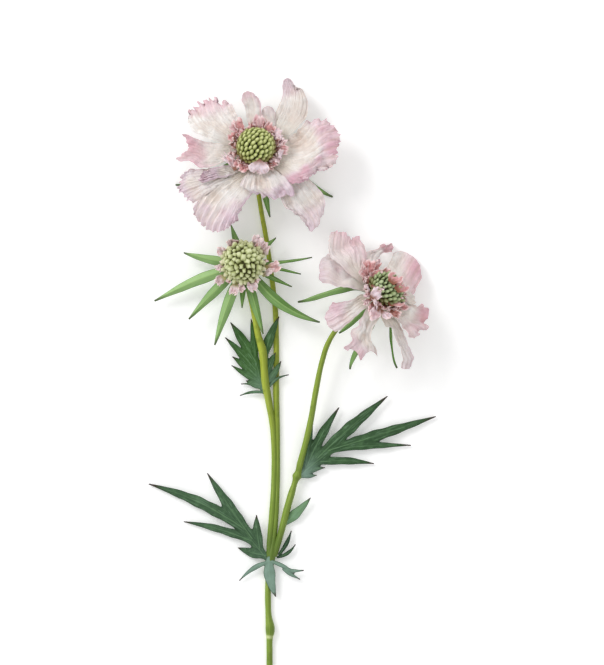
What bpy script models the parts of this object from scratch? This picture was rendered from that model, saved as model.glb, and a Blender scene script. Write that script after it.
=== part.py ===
"""Scabiosa spray, cut and lying on a surface.

One stem forks twice and carries two open blooms and one young head. Lengths below are in
millimetres: x to the right, y up the spray, z up off the surface. The origin is on the
surface, under the middle of the spray.
"""

import math

import bmesh
import bpy
import numpy as np
from mathutils import Matrix, Vector

MM = 0.001
PI = math.pi

# General sizes: the gap between pieces that touch, and the thickness of blades
GAP = 0.3
PETAL_THICKNESS = 0.7
LEAF_THICKNESS = 0.7
BRACT_THICKNESS = 0.8

# How finely shapes are drawn: a longer or wider blade has more rows and columns
STEM_SIDES = 8
LONG_BLADE = 26.0
SMALL_PETAL = 60.0
SLIVER_ANGLE = 1

# A blade's form: where it is widest and how it narrows, its end, its cup, pleats and ruffle
BLADE = dict(peak=0.8, taper=0.15, claw=0.22, bow=0.14, teeth=3, tooth=0.05, phase=0.0, cup=0.0,
             pleat=0.5, ruffle=0.8, waves=1.5, arch=2.0, sweep=0.0)

# Stems: x, y, height of the centre line, radius
MAIN_STEM = [
    (-11.8, -182.0, 1.38, 1.60), (-11.4, -145.0, 1.38, 1.58), (-11.3, -107.0, 1.38, 1.55),
    (-11.3, -99.5, 1.50, 1.62), (-11.0, -94.5, 1.95, 2.30), (-11.7, -89.0, 1.50, 1.65),
    (-12.1, -79.5, 1.35, 1.50), (-11.8, -67.0, 1.40, 1.55), (-10.9, -60.0, 1.85, 2.25),
    (-9.3, -49.5, 1.50, 1.60), (-8.2, -36.0, 1.40, 1.50), (-7.5, -20.5, 1.30, 1.40),
    (-7.4, -5.5, 1.30, 1.40), (-7.6, 10.0, 1.35, 1.45), (-8.0, 23.0, 1.40, 1.55),
    (-7.9, 45.5, 1.30, 1.42), (-8.4, 65.5, 1.25, 1.33), (-10.7, 85.5, 1.35, 1.25),
    (-12.8, 100.5, 1.90, 1.20), (-15.5, 115.5, 3.10, 1.15), (-17.2, 127.0, 4.80, 1.15),
    (-17.9, 135.0, 6.80, 1.20), (-18.0, 140.0, 9.40, 1.25), (-18.0, 143.6, 13.0, 1.35),
]
YOUNG_STEM = [
    (-11.5, -58.0, 2.20, 1.50), (-11.1, -49.0, 2.00, 1.50), (-10.0, -36.0, 2.00, 1.50),
    (-9.1, -20.5, 1.90, 1.42), (-9.0, -5.5, 1.90, 1.40), (-9.7, 7.0, 2.20, 1.50),
    (-11.9, 20.5, 3.00, 1.75), (-13.4, 29.0, 4.20, 1.85), (-14.1, 37.0, 4.90, 1.65),
    (-15.2, 46.0, 5.60, 1.60), (-17.4, 58.0, 6.20, 1.60), (-20.0, 69.0, 6.60, 1.55),
    (-22.3, 78.0, 6.90, 1.50), (-23.7, 83.8, 8.00, 1.45), (-24.1, 86.7, 10.4, 1.45),
]
BRANCH_STEM = [
    (-9.0, -58.0, 1.90, 1.50), (-5.4, -45.5, 2.70, 1.65), (-2.6, -34.5, 3.10, 1.70),
    (-0.3, -26.5, 3.40, 1.75), (2.4, -17.8, 3.90, 2.10), (4.1, -11.0, 4.60, 1.60),
    (5.6, -5.5, 5.20, 1.50), (9.3, 10.0, 7.00, 1.50), (12.0, 25.5, 8.50, 1.43),
    (15.2, 40.5, 9.80, 1.33), (17.6, 48.0, 10.5, 1.30), (20.9, 54.0, 11.2, 1.25),
    (26.5, 60.5, 12.2, 1.20), (33.5, 65.8, 14.2, 1.20), (38.3, 68.3, 17.0, 1.25),
    (42.2, 69.9, 20.9, 1.35),
]

# Heads: centre of the ring that the petals leave, and the way the head leans
BLOOM_A = dict(centre=(-18.0, 145.0, 17.0), lean_towards=90, lean=17)
BLOOM_B = dict(centre=(44.0, 72.0, 22.5), lean_towards=50, lean=48)
YOUNG_HEAD = dict(centre=(-24.2, 88.2, 14.0), lean_towards=100, lean=12)

# Layers of a head, as heights along its axis from the ring
CUP_DEPTH = 5.0
BRACT_LEVEL = -1.8
PETAL_DISC = (0.3, 1.9)
PETAL_LAYER_STEP = 0.6
FLORET_DISC = (2.2, 3.9)
YOUNG_DISC = (0.3, 1.8)
FLORET_LEVEL = 0.65
FLORET_HOLLOW = 0.65

# Radii in a head: the cup and its foot, the discs, and where blades start inside them
CUP_RADIUS = 7.6
CUP_FOOT_RADIUS = 2.4
PETAL_DISC_RADIUS = 8.5
FLORET_DISC_RADIUS = 9.2
BRACT_START = 3.5
PETAL_START = 6.0
FLORET_START = 8.0

# Pincushions: the outer radius and height, how deep the egg's middle lies, and its buds
DOME_RADIUS = 9.7
YOUNG_DOME_RADIUS = 9.9
DOME_HEIGHT = 9.5
DOME_SINK = 1.6
DOME_CELLS = 88
YOUNG_DOME_CELLS = 72
BUD_RELIEF = 0.8
BUD_INSET = 0.5

# Share of a blade's length over which its midrib keeps its way at the root and at the tip
ROOT_PULL = 0.35
TIP_PULL = 0.38

# Ray petals: the rise of the far end along the head's axis, the layer, the raised middle, the depth
# of the pleats and the half width of the claw. The outline goes counter-clockwise, as points seen
# from above the ring's centre with a lift; two of them are the shoulders. Swells are raised or
# hollow places with a size and a height.
PETAL = dict(arch=2.0, pleat=0.5, claw=2.4, swells=[])
PETALS_A = [
    dict(PETAL, rise=-1.0, layer=0.3, shoulders=(4, 12), arch=4.0,
         outline=[(-5.9, 10.6, 0.0), (-8.2, 14.7, 0.0), (-9.6, 17.5, 0.0), (-11.1, 20.4, 0.3),
                  (-12.9, 23.3, 0.8), (-15.6, 24.7, 1.0), (-18.1, 23.9, 1.2), (-20.4, 26.8, 1.8),
                  (-22.7, 25.7, 1.5), (-25.7, 24.9, 1.5), (-28.7, 23.0, 1.5), (-31.4, 20.7, 1.2),
                  (-33.2, 17.5, 0.8), (-33.6, 14.6, 0.3), (-32.6, 11.3, 0.0), (-30.3, 8.4, 0.0),
                  (-26.6, 6.5, 0.0), (-22.5, 4.8, 0.0), (-18.5, 3.8, 0.0), (-14.5, 2.5, 0.0)],
         swells=[(-30.0, 13.5, 3.5, 1.8), (-25.4, 9.5, 4.0, 1.8), (-19.7, 6.6, 3.5, 1.4),
                 (-22.5, 14.7, 2.5, -1.3), (-17.9, 11.8, 2.5, -1.3), (-26.6, 18.7, 2.5, 1.0),
                 (-20.8, 20.4, 3.0, 1.0)]),
    dict(PETAL, rise=-3.0, layer=-0.3, shoulders=(6, 11), arch=3.0,
         outline=[(-11.9, 3.8, 0.0), (-16.8, 3.3, 0.0), (-21.4, 3.8, 0.0), (-26.6, 4.6, 0.3),
                  (-30.9, 6.1, 0.6), (-34.0, 7.7, 1.0), (-36.9, 8.6, 1.2), (-35.1, 6.1, 0.6),
                  (-33.7, 3.2, 0.0), (-34.2, 0.3, 0.0), (-37.2, -1.7, 0.3), (-39.8, -4.4, 0.8),
                  (-37.5, -5.5, 0.5), (-33.2, -5.4, 0.0), (-30.5, -7.3, 0.0), (-28.3, -9.0, 0.0),
                  (-23.7, -8.8, 0.0), (-19.7, -7.8, 0.0), (-16.8, -6.3, 0.0), (-13.4, -4.9, 0.0)],
         swells=[(-26.6, 0.3, 4.5, -1.2)]),
    dict(PETAL, rise=-6.0, layer=-0.6, shoulders=(5, 11), arch=1.0,
         outline=[(-9.9, -8.9, 0.0), (-15.6, -8.6, 0.0), (-22.5, -9.0, 0.0), (-28.3, -9.3, 0.0),
                  (-32.0, -9.2, 0.3), (-35.5, -10.9, 0.8), (-37.5, -13.5, 1.0), (-37.8, -16.9, 1.0),
                  (-38.7, -19.4, 1.2), (-36.0, -21.8, 0.6), (-34.6, -24.1, 0.6), (-31.4, -26.0, 0.5),
                  (-28.3, -24.5, 0.0), (-23.7, -21.5, 0.0), (-17.9, -17.5, 0.0), (-11.1, -12.9, 0.0)],
         swells=[(-32.9, -14.6, 3.0, 1.0), (-30.6, -20.3, 3.0, -1.0)]),
    dict(PETAL, rise=-1.0, layer=0.9, shoulders=(4, 6), arch=1.5, claw=1.6,
         outline=[(-9.9, -7.1, 0.0), (-14.5, -7.7, 0.5), (-18.5, -8.3, 1.0), (-22.5, -9.3, 1.5),
                  (-26.3, -11.2, 1.5), (-28.4, -14.0, 1.2), (-27.2, -16.0, 1.0), (-24.0, -15.6, 0.8),
                  (-20.2, -14.3, 0.6), (-15.6, -13.5, 0.4), (-11.1, -12.0, 0.0)],
         swells=[(-25.4, -13.5, 2.0, -1.0), (-20.8, -11.5, 2.0, 1.0), (-16.8, -11.2, 2.0, -1.0)]),
    dict(PETAL, rise=-9.0, layer=0.0, shoulders=(8, 16), arch=3.0, pleat=0.7,
         outline=[(-8.8, -11.5, 0.0), (-13.4, -12.6, 0.0), (-17.9, -14.3, 0.0), (-22.3, -16.9, 0.0),
                  (-25.7, -19.7, 0.0), (-27.2, -22.6, 0.3), (-29.1, -25.5, 0.4), (-30.9, -28.4, 0.5),
                  (-30.5, -31.3, 0.3), (-29.4, -34.0, 0.2), (-27.1, -36.7, 0.2), (-24.5, -39.0, 0.3),
                  (-20.8, -40.6, 0.4), (-17.4, -40.2, 0.4), (-14.2, -39.0, 0.4), (-12.1, -36.4, 0.3),
                  (-10.4, -33.6, 0.4), (-7.9, -30.4, 0.6), (-5.3, -26.7, 0.5), (-2.9, -23.2, 0.3),
                  (-1.2, -20.3, 0.2), (-0.1, -16.9, 0.0), (0.4, -13.5, 0.0)],
         swells=[(-9.9, -27.2, 3.5, 1.2), (-20.2, -22.6, 3.5, -1.0), (-13.4, -33.0, 3.0, 1.0)]),
    dict(PETAL, rise=1.0, layer=0.3, shoulders=(4, 12), arch=6.0, pleat=0.8,
         outline=[(-5.3, -12.9, 0.0), (-6.9, -16.0, 0.2), (-7.9, -18.9, 0.5), (-5.0, -18.6, 0.3),
                  (-2.2, -19.2, 0.0), (0.1, -21.2, 0.0), (3.3, -22.9, 0.0), (6.5, -23.9, 0.0),
                  (9.6, -24.4, 0.0), (12.2, -23.7, 0.0), (14.8, -22.2, 0.0), (17.4, -23.3, 0.3),
                  (19.4, -21.8, 0.8), (18.5, -19.5, 1.2), (16.8, -17.2, 1.0), (14.8, -14.6, 0.5),
                  (11.9, -12.3, 0.0)],
         swells=[(2.1, -15.8, 3.0, -1.0), (7.9, -14.6, 3.0, 1.0), (13.1, -17.5, 2.5, -1.0)]),
    dict(PETAL, rise=-9.0, layer=-0.4, shoulders=(7, 13), arch=4.0, pleat=0.3,
         outline=[(8.5, -14.6, 0.0), (11.0, -19.2, 0.0), (12.2, -23.2, 0.0), (13.1, -26.4, 0.2),
                  (15.3, -29.2, 0.3), (18.2, -30.6, 0.3), (21.1, -32.1, 0.2), (23.7, -34.1, 0.0),
                  (25.4, -37.0, -0.5), (27.1, -40.3, -1.0), (29.4, -39.2, -0.6), (31.7, -36.7, 0.0),
                  (32.7, -33.3, 0.3), (34.2, -29.8, 0.6), (34.6, -25.8, 0.8), (33.3, -22.1, 0.8),
                  (30.6, -18.9, 0.6), (27.7, -16.0, 0.4), (25.1, -13.5, 0.2), (20.5, -11.2, 0.0)],
         swells=[(22.2, -22.1, 5.0, 1.5), (27.4, -30.1, 4.0, -1.2)]),
    dict(PETAL, rise=2.0, layer=0.2, shoulders=(8, 19), arch=1.0, claw=3.2, pleat=0.3,
         outline=[(9.6, -8.9, 0.0), (13.1, -12.3, 0.5), (16.2, -16.0, 1.5), (20.5, -16.9, 2.0),
                  (24.0, -15.6, 1.8), (26.5, -12.9, 1.0), (29.1, -10.9, 0.3), (32.0, -10.5, 0.0),
                  (36.0, -9.6, 0.2), (39.3, -6.7, 0.8), (40.6, -3.4, 1.2), (40.4, 0.0, 1.5),
                  (41.3, 3.2, 1.8), (41.9, 6.6, 2.0), (40.4, 10.1, 2.2), (38.0, 12.8, 2.2),
                  (35.2, 14.7, 2.0), (31.7, 15.5, 1.8), (28.3, 15.2, 1.4), (24.8, 14.6, 1.0),
                  (21.7, 11.8, 0.8), (18.5, 9.2, 0.5), (15.6, 6.6, 0.0)],
         swells=[(19.9, 4.3, 5.5, -2.6), (26.8, 6.1, 4.0, -1.2), (33.1, 8.4, 4.5, 1.6),
                 (30.8, -4.9, 2.2, 2.0), (25.1, -10.0, 2.5, 2.2), (19.9, -14.3, 2.5, 1.8),
                 (28.0, -7.1, 2.0, -1.0), (22.2, -12.3, 2.0, -1.0)]),
    dict(PETAL, rise=0.0, layer=-0.5, shoulders=(9, 12), arch=2.0, pleat=0.3,
         outline=[(14.2, 3.8, 0.0), (17.6, 7.8, 0.0), (21.7, 12.4, 0.0), (24.6, 15.8, 0.2),
                  (25.9, 19.5, 0.4), (26.1, 23.6, 0.6), (24.8, 27.3, 0.8), (22.8, 31.0, 0.8),
                  (20.5, 31.9, 0.6), (18.2, 34.1, 0.6), (16.8, 36.6, 1.0), (15.1, 36.4, 1.0),
                  (13.7, 35.6, 0.8), (13.2, 33.0, 0.6), (13.5, 29.0, 0.4), (12.4, 25.0, 0.2),
                  (10.3, 20.4, 0.0), (8.7, 16.4, 0.0), (8.2, 12.9, 0.0)],
         swells=[(21.7, 24.4, 4.0, 1.2), (16.5, 17.5, 4.0, -1.4)]),
    dict(PETAL, rise=3.0, layer=0.4, shoulders=(4, 8), arch=1.0, claw=1.4, pleat=0.2,
         outline=[(3.3, 12.9, 0.0), (3.0, 16.4, 0.3), (2.7, 20.1, 0.6), (2.3, 23.9, 0.8),
                  (0.4, 27.2, 1.0), (-1.4, 29.0, 1.0), (-3.3, 29.9, 1.2), (-5.3, 29.7, 1.2),
                  (-6.8, 27.6, 1.0), (-7.2, 25.1, 0.8), (-5.8, 22.4, 0.5), (-5.1, 19.0, 0.3),
                  (-4.5, 15.5, 0.0)],
         swells=[(-2.2, 21.0, 2.2, -1.2)]),
    dict(PETAL, rise=2.0, layer=0.0, shoulders=(2, 6), arch=0.0, claw=1.4, pleat=0.2,
         outline=[(9.6, 11.8, 0.0), (9.7, 15.8, 0.2), (9.7, 19.3, 0.4), (7.9, 21.8, 0.5),
                  (5.7, 22.4, 0.5), (3.4, 21.1, 0.4), (3.0, 18.4, 0.2), (4.3, 15.2, 0.0)],
         swells=[(6.2, 18.7, 2.0, 1.0)]),
]
PETALS_B = [
    dict(PETAL, rise=0.0, layer=0.4, shoulders=(5, 13), arch=3.0,
         outline=[(-5.8, 10.8, 0.0), (-7.7, 14.3, 0.6), (-7.5, 18.7, 1.2), (-7.9, 22.7, 1.6),
                  (-8.4, 25.9, 1.8), (-9.7, 28.9, 1.8), (-11.5, 30.4, 1.5), (-13.4, 30.1, 1.2),
                  (-14.6, 28.9, 0.8), (-15.6, 31.0, 1.2), (-18.7, 32.5, 1.2), (-21.7, 32.6, 1.2),
                  (-24.0, 31.7, 1.2), (-24.0, 29.8, 0.8), (-25.6, 27.1, 0.5), (-26.4, 24.2, 0.3),
                  (-26.1, 21.4, 0.0), (-23.9, 18.7, 0.0), (-20.2, 15.8, 0.0), (-15.7, 11.8, 0.0),
                  (-11.8, 8.3, 0.0)],
         swells=[(-20.2, 22.7, 4.0, -1.0), (-13.3, 22.2, 4.0, 1.2), (-14.2, 14.8, 3.5, -1.4),
                 (-10.3, 17.7, 2.5, 1.2)]),
    dict(PETAL, rise=-5.0, layer=-0.3, shoulders=(5, 10), arch=3.0,
         outline=[(-8.3, 6.9, 0.0), (-12.8, 10.3, 0.0), (-17.7, 14.3, 0.0), (-22.1, 18.0, 0.0),
                  (-25.9, 20.8, 0.2), (-28.6, 19.5, 0.3), (-30.2, 17.2, 0.5), (-30.5, 14.5, 0.5),
                  (-30.2, 11.8, 0.4), (-30.6, 8.6, 0.6), (-28.6, 6.8, 0.3), (-25.6, 5.7, 0.2),
                  (-22.1, 4.5, 0.1), (-18.2, 3.8, 0.0), (-13.7, 3.2, 0.0), (-9.8, 2.8, 0.0)]),
    dict(PETAL, rise=-13.0, layer=0.35, shoulders=(6, 14), arch=4.0,
         outline=[(-5.8, 0.4, 0.0), (-9.8, 0.9, 0.0), (-13.0, -1.3, 0.0), (-16.0, -2.9, 0.2),
                  (-18.9, -3.5, 0.3), (-21.7, -3.7, 0.5), (-23.7, -3.3, 0.6), (-25.1, -4.4, 0.5),
                  (-25.5, -6.5, 0.3), (-27.1, -8.1, 0.3), (-27.7, -9.7, 0.3), (-27.1, -11.9, 0.2),
                  (-26.3, -14.3, 0.0), (-24.5, -15.9, 0.0), (-22.5, -17.5, 0.0), (-20.6, -16.9, 0.0),
                  (-18.2, -14.9, 0.0), (-15.2, -12.4, 0.0), (-12.3, -9.7, 0.0), (-9.3, -7.2, 0.0)],
         swells=[(-20.7, -7.0, 3.5, 1.0), (-17.2, -10.9, 3.0, -1.0)]),
    dict(PETAL, rise=-17.0, layer=0.4, shoulders=(7, 16), arch=5.0, pleat=0.3,
         outline=[(-7.3, -6.0, 0.0), (-9.5, -10.2, 0.0), (-11.3, -12.9, 0.0), (-12.7, -15.8, 0.3),
                  (-15.2, -17.6, 0.4), (-16.0, -19.8, 0.3), (-15.1, -22.2, 0.0), (-18.6, -25.4, 1.0),
                  (-16.6, -26.6, 0.3), (-14.2, -26.2, 0.0), (-12.4, -27.1, 0.0), (-10.9, -29.2, -0.2),
                  (-10.0, -31.4, -0.5), (-7.9, -29.2, 0.0), (-6.1, -27.3, 0.3), (-3.8, -27.6, 0.6),
                  (-1.5, -29.5, 0.5), (-3.4, -26.0, 0.6), (-5.2, -24.9, 0.3), (-5.8, -22.8, 0.2),
                  (-5.7, -19.3, 0.2), (-4.7, -16.3, 0.1), (-2.9, -13.9, 0.0), (-0.9, -10.9, 0.0)],
         swells=[(-7.8, -19.8, 2.5, -1.2), (-12.8, -20.8, 2.5, 1.0), (-5.8, -12.9, 2.5, -1.0)]),
    dict(PETAL, rise=-15.0, layer=0.0, shoulders=(9, 12), arch=5.0, claw=1.8, pleat=0.3,
         outline=[(-0.4, -9.0, 0.0), (0.7, -12.4, 0.0), (2.0, -15.4, 0.0), (4.5, -16.5, 0.0),
                  (6.1, -19.3, 0.0), (7.1, -22.8, 0.0), (8.7, -26.3, 0.2), (9.7, -29.7, 0.3),
                  (10.5, -32.7, 0.3), (10.4, -35.5, 0.3), (12.5, -36.0, 0.2), (14.6, -35.2, 0.3),
                  (15.8, -32.7, 0.4), (16.2, -30.1, 0.4), (14.4, -27.7, 0.3), (12.9, -25.3, 0.2),
                  (11.6, -21.8, 0.1), (10.2, -18.3, 0.0), (9.4, -15.4, 0.0), (8.5, -11.9, 0.0)],
         swells=[(5.5, -12.4, 3.0, 1.0)]),
    dict(PETAL, rise=-3.0, layer=0.3, shoulders=(6, 15), arch=3.0, pleat=0.7,
         outline=[(4.1, -8.5, 0.0), (7.0, -11.4, 0.0), (9.7, -13.7, 0.2), (11.2, -16.4, 0.4),
                  (12.5, -18.3, 0.6), (14.2, -20.2, 0.8), (16.9, -20.9, 0.9), (18.8, -19.1, 0.6),
                  (19.4, -16.9, 0.3), (21.6, -16.3, 0.5), (23.2, -16.8, 0.9), (24.1, -14.6, 0.9),
                  (23.6, -11.9, 0.4), (24.7, -9.4, 1.0), (23.9, -7.2, 1.2), (22.3, -5.2, 1.0),
                  (20.3, -4.1, 0.9), (18.3, -5.4, 0.4), (15.9, -5.0, 0.2), (13.4, -3.5, 0.0)],
         swells=[(20.4, -7.5, 2.3, 1.4), (17.4, -10.9, 2.3, -1.5), (15.9, -15.4, 2.3, 1.3),
                 (21.8, -11.4, 2.0, -1.0), (12.5, -13.9, 2.3, -1.0)]),
    dict(PETAL, rise=5.0, layer=-0.2, shoulders=(9, 16), arch=-2.0, pleat=0.3,
         outline=[(12.5, -1.0, 0.0), (14.9, -3.5, 0.0), (16.9, -3.4, 0.2), (18.3, -2.4, 0.3),
                  (16.7, -0.8, 0.0), (16.4, 0.9, 0.0), (18.0, 2.9, 0.4), (18.4, 4.9, 0.5),
                  (19.9, 7.4, 0.8), (21.1, 9.8, 1.0), (20.6, 12.5, 1.0), (20.1, 15.3, 1.2),
                  (18.6, 18.5, 1.2), (16.2, 20.7, 1.0), (12.9, 22.7, 0.6), (9.9, 23.3, 0.5),
                  (7.3, 22.2, 0.3), (5.9, 19.2, 0.2), (4.3, 16.3, 0.1), (2.8, 13.3, 0.0)],
         swells=[(16.4, 13.8, 4.0, 1.2), (10.5, 16.3, 4.5, -1.2)]),
    dict(PETAL, rise=2.7, layer=0.1, shoulders=(5, 10), arch=2.0, claw=1.2, pleat=0.2,
         outline=[(-2.9, 13.8, 0.0), (-2.1, 16.8, 0.0), (-0.9, 19.5, 0.0), (1.5, 21.9, 0.5),
                  (4.1, 22.4, 0.8), (6.1, 22.7, 1.0), (6.8, 24.8, 1.5), (6.1, 26.9, 1.8),
                  (4.8, 25.5, 1.0), (3.6, 25.3, 1.0), (2.3, 26.9, 1.4), (0.4, 26.1, 1.0),
                  (-1.0, 24.1, 0.6), (-3.4, 23.2, 0.3), (-5.8, 22.6, 0.2), (-7.5, 21.9, 0.2),
                  (-8.1, 18.7, 0.0), (-7.9, 15.3, 0.0)],
         swells=[(3.1, 24.2, 1.8, -1.0)]),
    dict(PETAL, rise=1.0, layer=0.3, shoulders=(2, 6), arch=1.0, claw=1.4, pleat=0.2,
         outline=[(-2.6, 12.8, 0.0), (-0.4, 15.3, 0.3), (0.6, 17.1, 0.6), (0.2, 18.7, 0.8),
                  (-2.4, 18.7, 0.6), (-4.8, 19.0, 0.4), (-6.9, 18.7, 0.3), (-7.9, 16.3, 0.2),
                  (-8.1, 13.3, 0.0)],
         swells=[(-3.4, 15.8, 2.0, -1.0)]),
]

# Inner florets: azimuth about the axis, how far out, how far up, half width
FLORETS_A = [
    (132, 17.0, 5.0, 4.0), (102, 15.0, 5.0, 3.0), (79, 14.5, 5.5, 2.8), (56, 15.0, 5.0, 3.0),
    (33, 15.5, 5.0, 3.2), (6, 15.5, 5.0, 3.2), (-18, 15.0, 4.5, 3.2), (-46, 15.0, 5.0, 3.2),
    (-79, 15.0, 7.5, 4.2), (-116, 15.0, 5.0, 3.2), (-144, 15.0, 4.5, 3.2), (-166, 16.5, 4.5, 2.8),
    (168, 15.5, 5.0, 3.4),
]
FLORETS_B = [
    (95, 15.5, 5.5, 3.6), (63, 14.5, 5.0, 3.0), (32, 15.0, 5.5, 3.4), (2, 15.0, 5.5, 3.2),
    (-28, 15.5, 5.0, 3.4), (-60, 15.0, 6.0, 3.4), (-92, 15.0, 5.5, 3.4), (-122, 15.5, 7.0, 3.8),
    (-152, 14.5, 7.5, 3.4), (178, 15.0, 8.0, 3.4), (150, 14.5, 6.5, 3.2), (123, 15.5, 6.0, 3.4),
]
FLORETS_YOUNG = [
    (-4, 16.5, 3.0, 4.2), (-22, 14.0, 2.5, 2.8), (28, 14.0, 3.5, 3.4), (60, 14.5, 3.5, 3.6),
    (92, 12.8, 3.5, 2.6), (132, 13.0, 3.5, 3.2), (170, 12.6, 3.5, 2.6), (210, 14.5, 3.0, 3.4),
    (244, 15.0, 3.0, 3.4), (284, 13.5, 3.0, 3.2), (318, 13.0, 3.0, 2.8),
]

# Bracts: tip as seen from above, rise along the axis, half width, sideways bow
BRACTS_A = [
    (-40.5, -16.5, -20.2, 2.0, 4), (38.5, -22.5, -21.7, 2.6, 0), (7.0, -33.0, -15.5, 2.2, 0),
    (-25.0, 12.0, -9.0, 2.2, 0), (-2.0, 21.0, -7.0, 1.8, 0), (14.0, 22.0, -7.0, 2.0, 0),
    (28.0, 8.0, -9.0, 2.2, 0), (24.0, -12.0, -14.0, 2.0, 0), (-15.0, -24.0, -16.0, 2.2, 0),
]
BRACTS_B = [
    (-40.8, -2.2, -28.0, 2.4, -8), (-20.4, -17.8, -24.0, 2.0, 0), (-14.8, -35.8, -32.0, 2.2, 0),
    (8.6, -35.4, -21.0, 0.8, 1), (7.0, 7.5, -6.8, 2.2, 0), (-8.0, 14.0, -8.0, 2.0, 0),
    (15.0, -5.0, -7.5, 2.0, 0), (-18.0, 8.0, -10.0, 2.0, 0),
]
BRACTS_YOUNG = [
    (-44.8, -18.0, -10.0, 2.8, -2), (-27.5, -27.2, -8.0, 2.6, -1), (-14.5, -40.2, -9.0, 2.7, -1),
    (-0.8, -21.7, -4.0, 1.6, 0), (9.8, -34.7, -7.0, 2.3, 0), (38.2, -28.7, -10.0, 2.8, -6),
    (34.2, 3.7, -4.0, 0.9, -1), (28.7, -4.7, -5.0, 1.0, 1), (24.2, -11.0, -7.0, 1.3, 0),
    (-6.4, 20.0, -3.0, 1.8, 0), (16.1, 13.5, -3.0, 1.8, 0), (-30.0, 6.1, -5.0, 2.4, 1),
]

# Leaves: lobes as root x, y, z, tip x, y, z, half width, sideways bow
LOWER_LEAF_LEFT = [
    (-11.5, -60.5, 2.6, -30.0, -37.0, 5.6, 1.9, 0.5), (-22.5, -45.5, 4.2, -71.8, -21.9, 1.6, 2.9, -3.6),
    (-20.0, -49.0, 3.9, -42.4, -16.5, 3.2, 2.8, 0.6), (-18.0, -51.5, 3.6, -54.2, -40.8, 1.4, 2.0, -2.0),
    (-16.0, -54.5, 3.2, -17.8, -37.5, 4.4, 2.4, 0.8), (-13.5, -57.5, 2.8, -27.0, -53.9, 1.6, 2.4, 0.6),
]
LOWER_LEAF_FRONT = [
    (-11.4, -59.5, 3.7, -8.2, -78.2, 3.0, 2.8, -1.6), (-10.8, -60.6, 3.9, -26.3, -70.2, 1.8, 1.2, -2.0),
    (-11.4, -60.4, 3.8, 1.0, -66.4, 4.4, 1.1, 1.0), (-3.6, -64.8, 4.3, 5.7, -65.2, 3.0, 0.9, -0.4),
    (-4.4, -64.6, 4.2, 3.9, -69.6, 2.6, 0.9, -0.2),
]
LOWER_LEAF_RIGHT = [(-4.6, -42.0, 1.9, 9.2, -28.8, 3.4, 2.4, -0.8)]
LOWER_LEAF_SLIVER = [
    (-7.2, -58.6, 2.0, 1.6, -52.3, 1.8, 0.9, -1.6), (-6.4, -57.0, 2.0, -0.4, -45.4, 2.2, 1.1, -1.0),
]
BRANCH_LEAF = [
    (3.4, -18.0, 3.4, 25.0, -1.0, 3.6, 2.6, 0.6), (6.5, -14.5, 3.2, 10.4, 8.6, 2.4, 1.8, 0.4),
    (7.0, -14.0, 3.2, 23.5, 16.5, 2.8, 2.6, 1.4), (12.5, -9.0, 3.4, 47.8, 22.2, 2.8, 3.0, 0.8),
    (18.0, -5.0, 3.5, 72.0, 12.0, 1.6, 2.9, -0.2), (20.0, -4.5, 3.5, 59.5, -2.4, 1.4, 1.8, 1.2),
    (11.5, -11.0, 3.2, 41.0, -11.6, 1.6, 2.2, 1.6), (5.5, -16.0, 3.2, 16.4, -14.0, 2.4, 1.9, 0.2),
]
FORK_LEAF_LEFT = [
    (-13.6, 24.5, 3.4, -19.5, 47.0, 3.8, 2.6, 0.8), (-17.3, 37.5, 3.8, -30.8, 59.2, 3.2, 2.8, -0.6),
    (-17.4, 34.5, 3.7, -33.4, 51.6, 2.6, 2.2, -0.6), (-17.0, 31.5, 3.5, -29.8, 42.0, 2.2, 2.2, -0.6),
    (-15.8, 29.0, 3.4, -30.2, 37.6, 1.8, 1.6, 0.2), (-14.2, 27.5, 3.3, -23.0, 30.0, 2.2, 2.0, 0.2),
    (-18.4, 40.5, 3.8, -20.6, 61.0, 3.4, 2.0, -0.6), (-13.4, 24.5, 3.3, -25.4, 28.4, 1.4, 0.9, -2.0),
    (-13.4, 24.0, 3.2, -26.0, 22.6, 1.4, 0.8, -1.4),
]
FORK_LEAF_RIGHT = [
    (-12.8, 25.0, 3.6, -12.4, 46.5, 4.0, 1.5, 0.6), (-14.0, 41.5, 4.0, -6.6, 62.0, 3.9, 2.4, 1.0),
    (-12.6, 33.5, 3.8, -8.4, 44.0, 3.8, 2.0, 0.6), (-12.6, 29.0, 3.7, -5.6, 39.6, 3.6, 1.9, -0.4),
    (-12.2, 25.5, 3.6, -1.8, 33.0, 3.2, 0.8, 2.4),
]

# Colours, roughness
GREEN_STEM = ((0.40, 0.47, 0.06), 0.55)
GREEN_BRACT = ((0.16, 0.34, 0.09), 0.6)
GREEN_LEAF = ((0.05, 0.13, 0.07), 0.6)
GREEN_DOME = ((0.36, 0.40, 0.12), 0.7)
PINK_PETAL = ((0.80, 0.62, 0.62), 0.7)
CORAL_FLORET = ((0.72, 0.33, 0.32), 0.7)


def clear_scene():
    """Take away whatever the file holds."""
    for thing in list(bpy.data.objects):
        bpy.data.objects.remove(thing, do_unlink=True)


def material(name, colour_and_roughness):
    """A plain finish with the plant's own colour."""
    colour, roughness = colour_and_roughness
    made = bpy.data.materials.new(name)
    made.use_nodes = True
    surface = made.node_tree.nodes["Principled BSDF"]
    surface.inputs["Base Color"].default_value = (*colour, 1)
    surface.inputs["Roughness"].default_value = roughness
    surface.inputs["Metallic"].default_value = 0
    return made


def new_object(name, mesh, parent=None):
    """Put a mesh into the scene, in its parent's frame if it has one."""
    made = bpy.data.objects.new(name, mesh)
    bpy.context.scene.collection.objects.link(made)
    made.parent = parent
    return made


def head_frame(name, head):
    """An empty at the ring's centre, its z axis along the head's axis."""
    frame = bpy.data.objects.new(name, None)
    bpy.context.scene.collection.objects.link(frame)
    towards = math.radians(head["lean_towards"])
    turn = (Matrix.Rotation(towards, 4, "Z") @ Matrix.Rotation(math.radians(head["lean"]), 4, "Y")
            @ Matrix.Rotation(-towards, 4, "Z"))
    frame.matrix_world = Matrix.Translation(Vector(head["centre"]) * MM) @ turn
    return frame


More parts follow.
